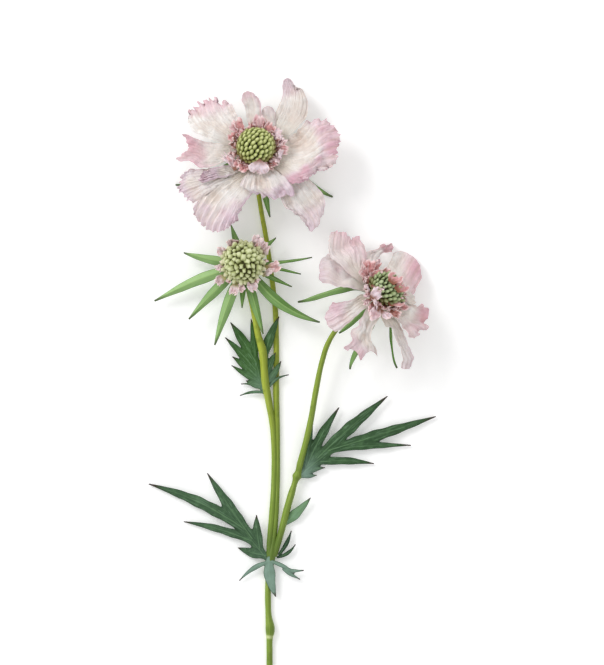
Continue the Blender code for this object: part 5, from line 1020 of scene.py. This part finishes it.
dull = cloth.rising(0.50, 0.75, 1.0 - clouds)
# Painted shade along fine crease lines, where the bump dips
creases = 1.0 - cloth.rising(0.0, 0.045, crinkle)
vein_lines = cloth.rising(0.55, 0.70, veins)
edge_line = 1.0 - cloth.rising(0.0, 0.45, inset)
petal_height = veins * 1.2 + grain * 0.15 + cloth.rising(0.0, 0.09, crinkle) * 0.5
petal_colour = cloth.layers(
    cloth.mix(cloth.rising(0.35, 0.7, clouds), colour(0.96, 0.92, 0.89), colour(0.99, 0.975, 0.96)),
    (claw_share * 0.7, colour(0.86, 0.83, 0.74)),
    (cloth.rising(0.02, 0.60, uneven) * 0.9, pale_pink),
    (cloth.rising(0.45, 1.05, uneven) * 0.85, strong_pink),
    (dull * 0.2, colour(0.86, 0.78, 0.74)),
    # Painted shade in the folds and hollows
    (hollow * 0.7, colour(0.82, 0.73, 0.67)),
    (creases * 0.14, colour(0.76, 0.66, 0.66)),
    (vein_lines * 0.25, colour(0.78, 0.68, 0.67)),
    (edge_line * 0.45, colour(0.82, 0.63, 0.69)))
cloth.wear(Base_Color=petal_colour, Roughness=0.55 + veins * 0.2,
           Normal=cloth.bump(petal_height, 0.6, 0.0009))

for name in ("bloom_a", "bloom_b"):
    head = HEADS[name]
    middle = disc(PETAL_DISC_RADII, *PETAL_DISC, PETAL_DISC_RIBS, along=0.05, across=0.0, blush=0.0,
                  hollow=0.0, inset=9.0, mauve=0.0, own=0.3)
    shapes = [petal(head, form, seed) for seed, form in enumerate(PETALS[name])]
    put(name + "_ray_petals", [on_head(head, middle), *shapes], cloth.material,
        [name + "_petals"])


# The small florets round each pincushion
# Coral-pink florets grow in a ring round the buds. Each is a soft, crumpled lobe on a narrow tube,
# brown at its root, or green in the young head, and curled at its end. Short ones fill the crevices.

# The florets' thickness and disc, and the number, start and draw of the short ones
FLORET_SHEET = 0.3
FLORET_DISC_RADII = [6.0, 8.4, 9.2, 9.2, 8.6, 6.0]
FLORET_DISC_RIBS = 26
FLORET_DISCS = dict(bloom_a=(2.2, 3.9), bloom_b=(2.2, 3.9), young_head=(0.3, 1.8))
FLORET_GRID = (26, 23)
SHORT_FLORETS = dict(bloom_a=34, bloom_b=34, young_head=14)
SHORT_START = 8.6
SHORT_SEED = 5

# Florets: root and tip as seen from above, each with its rise along the axis; half width, the
# share of it at the root, the roll in degrees, and how pale it is, brown below zero
FLORETS = dict(
    bloom_a=[
        (-6.0, 8.1, 3.7, -9.9, 15.3, 8.0, 2.8, 0.5, 30, 0.15),
        (-8.1, 6.3, 3.7, -13.2, 9.0, 6.5, 2.9, 0.5, -35, 0.1),
        (-7.2, 7.4, 3.7, -12.4, 13.0, 7.0, 2.0, 0.5, 5, 0.45),
        (-2.1, 9.5, 3.7, -1.8, 14.8, 6.5, 1.7, 0.6, 40, 0.1),
        (3.1, 8.5, 3.7, 1.7, 17.6, 8.5, 3.4, 0.5, -35, 0.5),
        (4.2, 8.1, 3.7, 8.3, 13.2, 7.5, 3.0, 0.5, 40, 0.1),
        (4.4, 9.2, 3.7, 5.6, 15.4, 8.0, 1.8, 0.5, 10, 0.3),
        (7.0, 6.7, 3.7, 12.3, 10.9, 6.5, 3.0, 0.4, -30, 0.95),
        (8.8, 4.0, 3.7, 13.6, 7.0, 7.5, 1.7, 0.5, 60, 0.9),
        (8.8, 1.8, 3.7, 15.8, 4.9, 7.0, 2.1, 0.4, -50, 0.7),
        (9.1, 0.3, 3.7, 15.5, 0.0, 7.0, 2.4, 0.4, 30, 0.35),
        (9.5, -6.0, 4.5, 13.2, 0.3, 8.0, 1.1, 0.9, 55, 1.0),
        (8.1, -3.2, 3.7, 11.5, -5.7, 7.5, 1.7, 0.5, -60, 0.6),
        (6.3, -3.9, 3.7, 10.6, -7.6, 6.0, 1.7, 0.5, 50, 0.0),
        (4.2, -5.7, 3.7, 8.6, -9.4, 6.5, 1.9, 0.5, -45, -0.3),
        (1.9, -4.4, 10.4, 0.9, -12.2, 8.6, 5.4, 0.05, -6, 1.0),
        (1.4, -7.0, 3.8, 1.0, -11.0, 8.2, 1.6, 0.7, 0, 0.7),
        (-2.8, -5.7, 3.7, -3.8, -9.8, 6.5, 1.7, 0.6, 45, -0.2),
        (-4.6, -4.9, 3.7, -8.1, -10.2, 6.5, 2.6, 0.5, -30, 0.0),
        (-7.4, -3.9, 3.7, -10.8, -7.9, 6.0, 2.4, 0.5, 35, 0.15),
        (-9.9, -10.0, 4.5, -16.9, -2.1, 5.5, 1.3, 0.8, 25, 1.0),
        (-9.2, -8.4, 4.0, -14.6, -2.3, 6.5, 1.6, 0.7, -40, 0.35),
        (-9.4, -5.8, 3.7, -12.9, -2.6, 6.0, 1.4, 0.6, 50, 0.7),
        (-9.6, 1.0, 3.7, -12.9, 4.0, 5.0, 1.3, 0.6, -40, -0.4),
        (-9.8, -1.8, 3.7, -13.5, -1.1, 5.5, 1.3, 0.6, 30, -0.3)],
    bloom_b=[
        (-5.7, 10.0, 3.7, -5.2, 18.6, 9.0, 3.4, 0.5, -25, 0.0),
        (-4.7, 11.3, 3.7, 0.3, 17.8, 9.5, 2.6, 0.4, 35, 0.1),
        (-7.6, 7.5, 3.7, -9.6, 13.2, 7.5, 1.7, 0.6, 40, 0.05),
        (-6.2, 9.0, 3.7, -8.0, 15.4, 8.5, 1.7, 0.6, -50, 0.25),
        (-5.0, 8.8, 4.5, 0.9, 13.2, 10.5, 2.2, 0.5, -45, 0.1),
        (1.0, 10.7, 8.0, 4.8, 13.4, 11.5, 2.4, 0.5, 20, -0.15),
        (5.0, 6.9, 14.3, 9.2, 11.0, 14.2, 3.8, 0.5, -20, 0.1),
        (7.6, 3.2, 13.0, 12.4, 7.4, 12.4, 3.5, 0.5, 25, 0.1),
        (8.7, 1.1, 9.5, 12.7, 2.4, 9.6, 2.0, 0.5, -30, -0.2),
        (3.9, -3.6, 7.0, 11.6, -1.4, 9.4, 3.3, 0.4, 20, 0.1),
        (7.0, -6.2, 3.9, 14.2, -4.3, 6.5, 2.4, 0.5, -35, 0.1),
        (4.6, -6.2, 3.9, 9.9, -9.1, 6.5, 1.9, 0.5, 45, -0.3),
        (-4.2, -1.1, 7.4, 0.2, 3.4, 11.8, 2.9, 0.45, 15, 0.95),
        (-4.4, 5.9, 7.8, 1.5, 3.8, 12.2, 1.6, 0.6, 40, 0.6),
        (-0.6, -4.3, 4.2, -5.0, -11.0, 4.8, 2.9, 0.4, -20, 0.65),
        (-0.9, -6.9, 4.6, -2.7, -1.0, 9.0, 1.0, 0.9, 50, 1.0),
        (-0.2, -6.7, 3.9, 4.5, -10.5, 6.0, 1.8, 0.5, 40, 0.85),
        (-3.6, -3.0, 3.9, -6.2, -7.4, 5.0, 1.6, 0.6, -50, 0.3),
        (-4.1, 1.7, 4.8, -7.6, 6.2, 6.5, 1.2, 0.6, 55, 0.9),
        (-4.5, 0.3, 4.5, -8.0, 1.6, 5.5, 1.1, 0.6, -40, 0.5),
        (-4.6, -1.4, 4.2, -8.0, -3.6, 5.5, 1.3, 0.6, 40, 0.55)],
    young_head=[
        (5.2, 7.9, 1.6, 7.9, 13.8, 5.5, 2.9, 0.5, 20, 0.8),
        (9.3, 4.5, 1.6, 13.6, 8.4, 4.5, 1.9, 0.5, -30, 0.8),
        (10.6, -1.5, 1.6, 18.2, -0.4, 4.0, 2.8, 0.4, 25, 0.1),
        (9.3, -5.4, 1.6, 14.7, -2.9, 4.5, 1.9, 0.5, -50, 1.0),
        (8.0, 6.4, 1.6, 11.2, 11.0, 5.0, 1.8, 0.5, 40, 0.55),
        (3.2, -7.6, 1.6, 5.2, -13.0, 4.0, 2.7, 0.5, -25, 0.8),
        (-3.6, -9.0, 1.6, -5.6, -15.2, 3.5, 2.7, 0.5, 30, 0.7),
        (-9.0, -6.0, 1.6, -13.7, -9.9, 3.5, 2.5, 0.5, -30, 0.6),
        (-9.8, -0.9, 1.6, -14.2, -1.8, 4.0, 2.0, 0.5, 40, 0.75),
        (-8.3, 5.2, 1.6, -12.3, 8.8, 4.5, 2.5, 0.5, -40, 0.7),
        (-4.9, 8.4, 1.6, -7.1, 12.0, 5.0, 1.9, 0.5, 40, 0.5),
        (-0.2, -9.4, 1.6, -0.4, -13.2, 4.0, 1.7, 0.5, 40, 0.5)],
)


def floret(head, root, tip, looks, greenness, seed):
    """One floret: a cupped, grooved and crumpled lobe that stands up from a narrow tube, leans over
    by its roll, and curls back at its end, which two or three teeth cut."""
    draw = np.random.default_rng(seed)
    half_width, claw, roll, pale = looks
    form = dict(peak=0.8, taper=draw.uniform(0.0, 0.25), claw=claw, flare=1.5,
                bow=draw.uniform(-0.1, 0.1), teeth=2 + draw.integers(2), tooth=draw.uniform(0.15, 0.35),
                phase=draw.random() * 2 * PI, cup=draw.uniform(0.1, 0.45) * half_width, pleat=0.4,
                ruffle=0.6, waves=1.5, arch=-0.5 * (tip[2] - root[2]), roll=roll,
                sweep=draw.uniform(-0.8, 0.8), half_width=half_width)
    u, v = spread(*FLORET_GRID)
    phase = draw.random(2) * 2 * PI
    back = -draw.uniform(0.1, 0.6) * half_width * np.maximum(0, (u - 0.65) / 0.35) ** 2
    lip = 0.5 * u ** 3 * np.sin(5 * v + phase[0])
    groove = 0.3 * u * (1 - 2 * np.abs(np.sin(2.5 * v + phase[1] + u)))
    surface = blade(root, tip, form, u, v, relief=back + lip + groove)
    creases = 1.5 * crumple(surface * 1.6, draw) * rising(0.2, 0.6, u)
    surface = surface + grid_normal(surface) * creases[..., None]
    return on_head(head, shell(surface, FLORET_SHEET, along=u, across=v, pale=pale, green=greenness,
                               own=draw.random()))


def short_florets(count, low):
    """Short brown florets that stand in the crevices of the ring, each as root, tip and looks."""
    draw = np.random.default_rng(SHORT_SEED)
    made = []
    for place in range(count):
        azimuth = (place + draw.uniform(-0.35, 0.35)) * 2 * PI / count
        outward = np.array([math.cos(azimuth), math.sin(azimuth), 0])
        root = outward * SHORT_START + UP * (low + 1.4)
        tip = outward * draw.uniform(10.6, 12.6) + UP * (low + draw.uniform(2.6, 4.8))
        looks = (draw.uniform(0.6, 1.3), 0.6, draw.uniform(-60, 60), draw.uniform(-0.6, 0.2))
        made.append((root, tip, looks))
    return made


coral = Finish("floret", Roughness=0.6, Specular_IOR_Level=0.25, Subsurface_Weight=0.12,
               Subsurface_Radius=(1.0, 0.5, 0.4), Subsurface_Scale=0.0012)
along, across, own, pale, greenness = coral.attributes("along", "across", "own", "pale", "green")
lines = coral.noise(coral.vector(across * 6.0, along * 1.2, own * 13.0), 2.0, 3.0)
shade = coral.noise(coral.place(), 420.0, 2.0)
root_share = 1.0 - coral.rising(0.08, 0.62, along)
root_colour = coral.mix(greenness, colour(0.50, 0.29, 0.15), colour(0.66, 0.66, 0.38))
rim_share = coral.rising(0.84, 0.98, across.size().math("MAXIMUM", along))
rim_share = rim_share * coral.rising(0.25, 0.6, along)
petal_colour = coral.layers(
    coral.mix(coral.rising(0.0, 1.0, pale), colour(0.84, 0.59, 0.59), colour(0.90, 0.83, 0.86)),
    (greenness * 0.45, colour(0.84, 0.79, 0.78)),
    (coral.rising(0.42, 0.7, lines) * 0.5, colour(0.95, 0.85, 0.86)),
    (coral.rising(0.50, 0.72, shade) * 0.45, colour(0.68, 0.47, 0.45)),
    (coral.rising(0.0, 0.5, pale * -1.0) * 0.8, colour(0.50, 0.30, 0.16)),
    (root_share * 0.9, root_colour),
    (rim_share * 0.75, colour(0.99, 0.90, 0.90)))
coral.wear(Base_Color=petal_colour, Roughness=0.55 + lines * 0.2,
           Normal=coral.bump(lines, 0.4, 0.0006))

for name, places in FLORETS.items():
    head = HEADS[name]
    greenness = 1.0 if name == "young_head" else 0.0
    low, high = FLORET_DISCS[name]
    middle = disc(FLORET_DISC_RADII, low, high, FLORET_DISC_RIBS, along=0.0, across=0.0, pale=0.0,
                  green=greenness, own=0.5)
    made = [(as_seen(head, *row[:3]), as_seen(head, *row[3:6]), row[6:]) for row in places]
    made = made + short_florets(SHORT_FLORETS[name], low)
    shapes = [floret(head, *row, greenness, seed) for seed, row in enumerate(made)]
    put(name + "_small_florets", [on_head(head, middle), *shapes], coral.material,
        [name + "_florets"])


# The pincushions
# The middle of each head is a dome of close-packed buds on a spiral, olive in the open blooms and
# pale green in the young head. Each bud is a small bulb with a blunt tip, with painted shade at its foot
# where the buds meet and a painted highlight on its crown.

# The dome's height, how much of it lies under its rim, the gap below it and a bud's height, in
# millimetres; then a bud's rings, as shares of its height, and the grid of the dome's core
DOME_HEIGHT = 9.5
DOME_SINK = 1.6
DOME_GAP = 0.3
BUD_HEIGHT = 1.6
BUD_SIDES = 10
BUD_CLIMB = np.array([0.0, 0.22, 0.45, 0.68, 0.86, 0.97])
BUD_POINTS = len(BUD_CLIMB) * BUD_SIDES + 1
CORE_ROWS = 14
CORE_SIDES = 40

# Domes: radius; the buds' number, plumpness, length for their width, how far their tips lean over
# and towards which azimuth, or outward where there is none, how lobed and how uneven they are;
# their look, 0 for olive, 1 for grey-green and half for young; and how many hang round the rim
DOMES = dict(
    bloom_a=dict(radius=9.7, buds=172, plump=1.00, long=1.50, lean=0.9, towards=48, lobes=0.0,
                 uneven=0.06, look=0.0, rim=0),
    bloom_b=dict(radius=9.7, buds=190, plump=1.00, long=1.35, lean=1.0, towards=20, lobes=0.08,
                 uneven=0.14, look=1.0, rim=0),
    young_head=dict(radius=9.9, buds=140, plump=1.16, long=1.20, lean=0.5, towards=None, lobes=0.20,
                    uneven=0.20, look=0.5, rim=22),
)


def bulbs(feet, normals, along, wide, long, tall, lean, lobes, turn):
    """Bulbs that stand at the feet. A bulb's cross-section is an ellipse with four low lobes,
    longer along the given direction. Its size follows a rounded quarter of a curve from foot to
    tip, and its upper part leans the same way."""
    side = np.cross(normals, along)
    angle = np.linspace(0, 2 * PI, BUD_SIDES, endpoint=False)
    bulge = np.sqrt(1 - BUD_CLIMB ** 2.4) * (1 + 0.08 * np.sin(PI * BUD_CLIMB))
    lobed = 1 + lobes * np.cos(4 * (angle[None] + turn[:, None]))
    radius = wide[:, None, None] * bulge[None, :, None] * lobed[:, None, :]
    climb = BUD_CLIMB[None, :, None, None]
    rise = tall[:, None, None, None] * (climb * 1.25 - 0.25) * normals[:, None, None]
    shift = lean * climb ** 1.5 * along[:, None, None]
    points = (feet[:, None, None] + along[:, None, None] * (radius * long * np.cos(angle))[..., None]
              + side[:, None, None] * (radius * np.sin(angle))[..., None] + rise + shift)
    number = len(feet)
    tips = feet + normals * (tall * (1.0 - 0.5 * lobes))[:, None] + lean * along
    here, onward, walls = ring_walls(len(BUD_CLIMB), BUD_SIDES)
    cap = np.stack([np.full(BUD_SIDES, BUD_POINTS - 1), here[-1], onward[-1]], axis=1)
    base = here[0][::-1][None]
    step = np.arange(number)[:, None, None] * BUD_POINTS
    faces = [(group[None] + step).reshape(-1, group.shape[1]) for group in (walls, cap, base)]
    points = np.concatenate([points.reshape(number, -1, 3), tips[:, None]], axis=1).reshape(-1, 3)
    points[:, 2] = np.maximum(points[:, 2], -DOME_SINK)
    share = np.tile(np.concatenate([np.repeat(BUD_CLIMB, BUD_SIDES), [1.0]]), number)
    return points, faces, share


def buds(made, low, own, look):
    """The shape of bulbs, with the values for their finish: how low each stands on the dome, its
    own draw, and the head's look."""
    points, faces, share = made
    return dict(points=points, faces=faces,
                values=dict(tip=share, low=np.repeat(low, BUD_POINTS), own=np.repeat(own, BUD_POINTS),
                            look=np.full(len(points), look)))


def pincushion(dome, bottom, seed):
    """A dome of bulbs on a spiral over an egg, with the egg itself as a core, and longer bulbs
    that hang outward round its rim. The sites step by the golden angle and by equal heights."""
    draw = np.random.default_rng(seed)
    radii = np.array([dome["radius"], dome["radius"], DOME_HEIGHT - DOME_SINK]) - BUD_HEIGHT * 0.8
    count = np.arange(dome["buds"]) + 0.5
    level = 1 - 2 * count / dome["buds"]
    ring = np.sqrt(1 - level ** 2)
    turn = count * PI * (3 - math.sqrt(5))
    sites = np.stack([ring * np.cos(turn), ring * np.sin(turn), level], axis=1)
    sites = sites[sites[:, 2] * radii[2] > -DOME_SINK + 0.3]
    number = len(sites)
    normals = unit(sites / radii + draw.normal(0, dome["uneven"] * 0.15, (number, 3)))
    aim = unit(sites * (1, 1, 0))
    if dome["towards"] is not None:
        azimuth = math.radians(dome["towards"])
        aim = np.broadcast_to([math.cos(azimuth), math.sin(azimuth), 0.2], (number, 3))
    aim = unit(aim + draw.normal(0, dome["uneven"], (number, 3)))
    along = unit(aim - normals * (aim * normals).sum(axis=1, keepdims=True))
    wide = (dome["plump"] * radii[0] * math.sqrt(PI / dome["buds"])
            * draw.normal(1, dome["uneven"], number))
    tall = BUD_HEIGHT * draw.normal(1, dome["uneven"] * 1.4, number)
    made = bulbs(sites * radii, normals, along, wide * 0.9, dome["long"], tall, dome["lean"],
                 dome["lobes"], draw.random(number) * 2 * PI)
    shapes = [buds(made, 1 - np.maximum(0, sites[:, 2]), draw.random(number), dome["look"])]
    if dome["rim"]:
        number = dome["rim"]
        azimuth = (np.arange(number) + draw.uniform(-0.25, 0.25, number)) * 2 * PI / number
        outward = np.stack([np.cos(azimuth), np.sin(azimuth), np.zeros(number)], axis=1)
        normals = unit(outward + UP * draw.uniform(0.3, 0.8, number)[:, None])
        along = unit(UP - normals * normals[:, 2:])
        feet = outward * (dome["radius"] - 0.8) + UP * draw.uniform(-0.6, 0.4, number)[:, None]
        made = bulbs(feet, normals, along, draw.uniform(1.1, 1.6, number), 1.1,
                     draw.uniform(2.0, 3.2, number), -0.5, 0.16, draw.random(number) * 6)
        shapes.append(buds(made, np.full(number, 0.9), draw.random(number), dome["look"]))
    tilt = np.linspace(math.asin(-DOME_SINK / radii[2]), PI / 2 * 0.97, CORE_ROWS)
    shapes.append(turned(radii[0] * np.cos(tilt), radii[2] * np.sin(tilt), 1, 0.0, sides=CORE_SIDES,
                         tip=0.0, low=0.5, own=0.5, look=dome["look"]))
    lift = np.array([0, 0, bottom + DOME_SINK])
    return [dict(shape, points=shape["points"] + lift) for shape in shapes]


bud_green = Finish("bud", Roughness=0.6, Specular_IOR_Level=0.3)
tip, low, own, look = bud_green.attributes("tip", "low", "own", "look")
speckle = bud_green.noise(bud_green.place(), 900.0, 3.0)
young = 1.0 - bud_green.rising(0.0, 0.5, (look - 0.5).size())
olive = bud_green.mix(look, colour(0.60, 0.63, 0.35), colour(0.53, 0.60, 0.42))
olive = bud_green.mix(young, olive, colour(0.70, 0.73, 0.50))
# Painted highlight on the buds' crowns
painted_crown_highlight = bud_green.mix(look, colour(0.83, 0.85, 0.60), colour(0.74, 0.79, 0.62))
painted_crown_highlight = bud_green.mix(young, painted_crown_highlight, colour(0.86, 0.88, 0.70))
# Painted shade at the buds' feet, where they meet
painted_gap_shade = bud_green.mix(young, colour(0.16, 0.15, 0.03), colour(0.26, 0.25, 0.08))
brown_rim = bud_green.rising(0.50, 0.95, low) * (1.0 - young) * 0.65
cream_rim = bud_green.rising(0.55, 1.0, low) * young * bud_green.rising(0.4, 0.9, tip) * 0.5
bud_colour = bud_green.layers(
    bud_green.mix(bud_green.rising(0.30, 0.70, tip), painted_gap_shade, olive),
    (bud_green.rising(0.66, 0.98, tip + (speckle - 0.5) * 0.3), painted_crown_highlight),
    (brown_rim, colour(0.42, 0.30, 0.15)),
    (cream_rim, colour(0.88, 0.84, 0.76)),
    ((own - 0.5).size() * 0.5, colour(0.50, 0.54, 0.24)))
bud_green.wear(Base_Color=bud_colour, Roughness=0.5 + speckle * 0.25,
               Normal=bud_green.bump(speckle, 0.3, 0.0003))

for seed, (name, dome) in enumerate(DOMES.items()):
    head = HEADS[name]
    made = pincushion(dome, FLORET_DISCS[name][1] + DOME_GAP, seed)
    put(name + "_bud_dome", [on_head(head, shape) for shape in made], bud_green.material,
        [name + "_cushion"])


# The surface, the light and the camera
# The spray lies on a plain pale table under soft studio light from the upper left, and the camera
# looks straight down on it from far off, as in the photograph.

# In metres, but for the sensor in millimetres. The picture's scale holds at the blooms' height.
FLOOR_SIDE = 6.0
PICTURE_CENTRE = (0.005, 0.05425)
PICTURE_HEIGHT = 0.3325
BLOOM_HEIGHT = 0.012
CAMERA_HEIGHT = 2.4
SENSOR = 36.0
ROOM_LIGHT = 0.76
TABLE_GLOW = 0.14

floor_mesh = bpy.data.meshes.new("table_top")
half_side = FLOOR_SIDE / 2
floor_mesh.from_pydata([(-half_side, -half_side, 0), (half_side, -half_side, 0),
                        (half_side, half_side, 0), (-half_side, half_side, 0)], [], [(0, 1, 2, 3)])
floor = bpy.data.objects.new("table_top", floor_mesh)
bpy.context.scene.collection.objects.link(floor)
table = Finish("table_white", Roughness=0.9, Specular_IOR_Level=0.0,
               Emission_Color=(1.0, 1.0, 1.0, 1.0), Emission_Strength=TABLE_GLOW)
grain = table.noise(table.place(), 6.0, 2.0)
white = table.mix(grain, colour(0.985, 0.985, 0.985), colour(0.995, 0.995, 0.995))
floor_mesh.materials.append(table.wear(Base_Color=white))

world = bpy.data.worlds.new("soft_room")
world.use_nodes = True
world.node_tree.nodes["Background"].inputs["Color"].default_value = (1.0, 1.0, 1.0, 1.0)
world.node_tree.nodes["Background"].inputs["Strength"].default_value = ROOM_LIGHT
bpy.context.scene.world = world


def soft_light(name, place, aim, size, power):
    """A square white area light that faces a point."""
    light = bpy.data.lights.new(name, "AREA")
    light.size = size
    light.energy = power
    lamp = bpy.data.objects.new(name, light)
    bpy.context.scene.collection.objects.link(lamp)
    direction = np.array(aim) - np.array(place)
    lamp.location = place
    lamp.rotation_euler = (math.atan2(np.linalg.norm(direction[:2]), -direction[2]), 0,
                           math.atan2(direction[1], direction[0]) - PI / 2)


soft_light("key_light", (-1.2, 1.1, 1.3), (0, 0.05, 0), 0.8, 17.0)
soft_light("fill_light", (1.4, -1.0, 1.6), (0, 0.05, 0), 1.6, 3.0)

camera = bpy.data.cameras.new("camera")
camera.sensor_width = SENSOR
camera.lens = SENSOR * CAMERA_HEIGHT / PICTURE_HEIGHT
camera.clip_end = 10.0
eye = bpy.data.objects.new("camera", camera)
bpy.context.scene.collection.objects.link(eye)
eye.location = (*PICTURE_CENTRE, CAMERA_HEIGHT + BLOOM_HEIGHT)
bpy.context.scene.camera = eye
bpy.context.scene.view_settings.view_transform = "Standard"
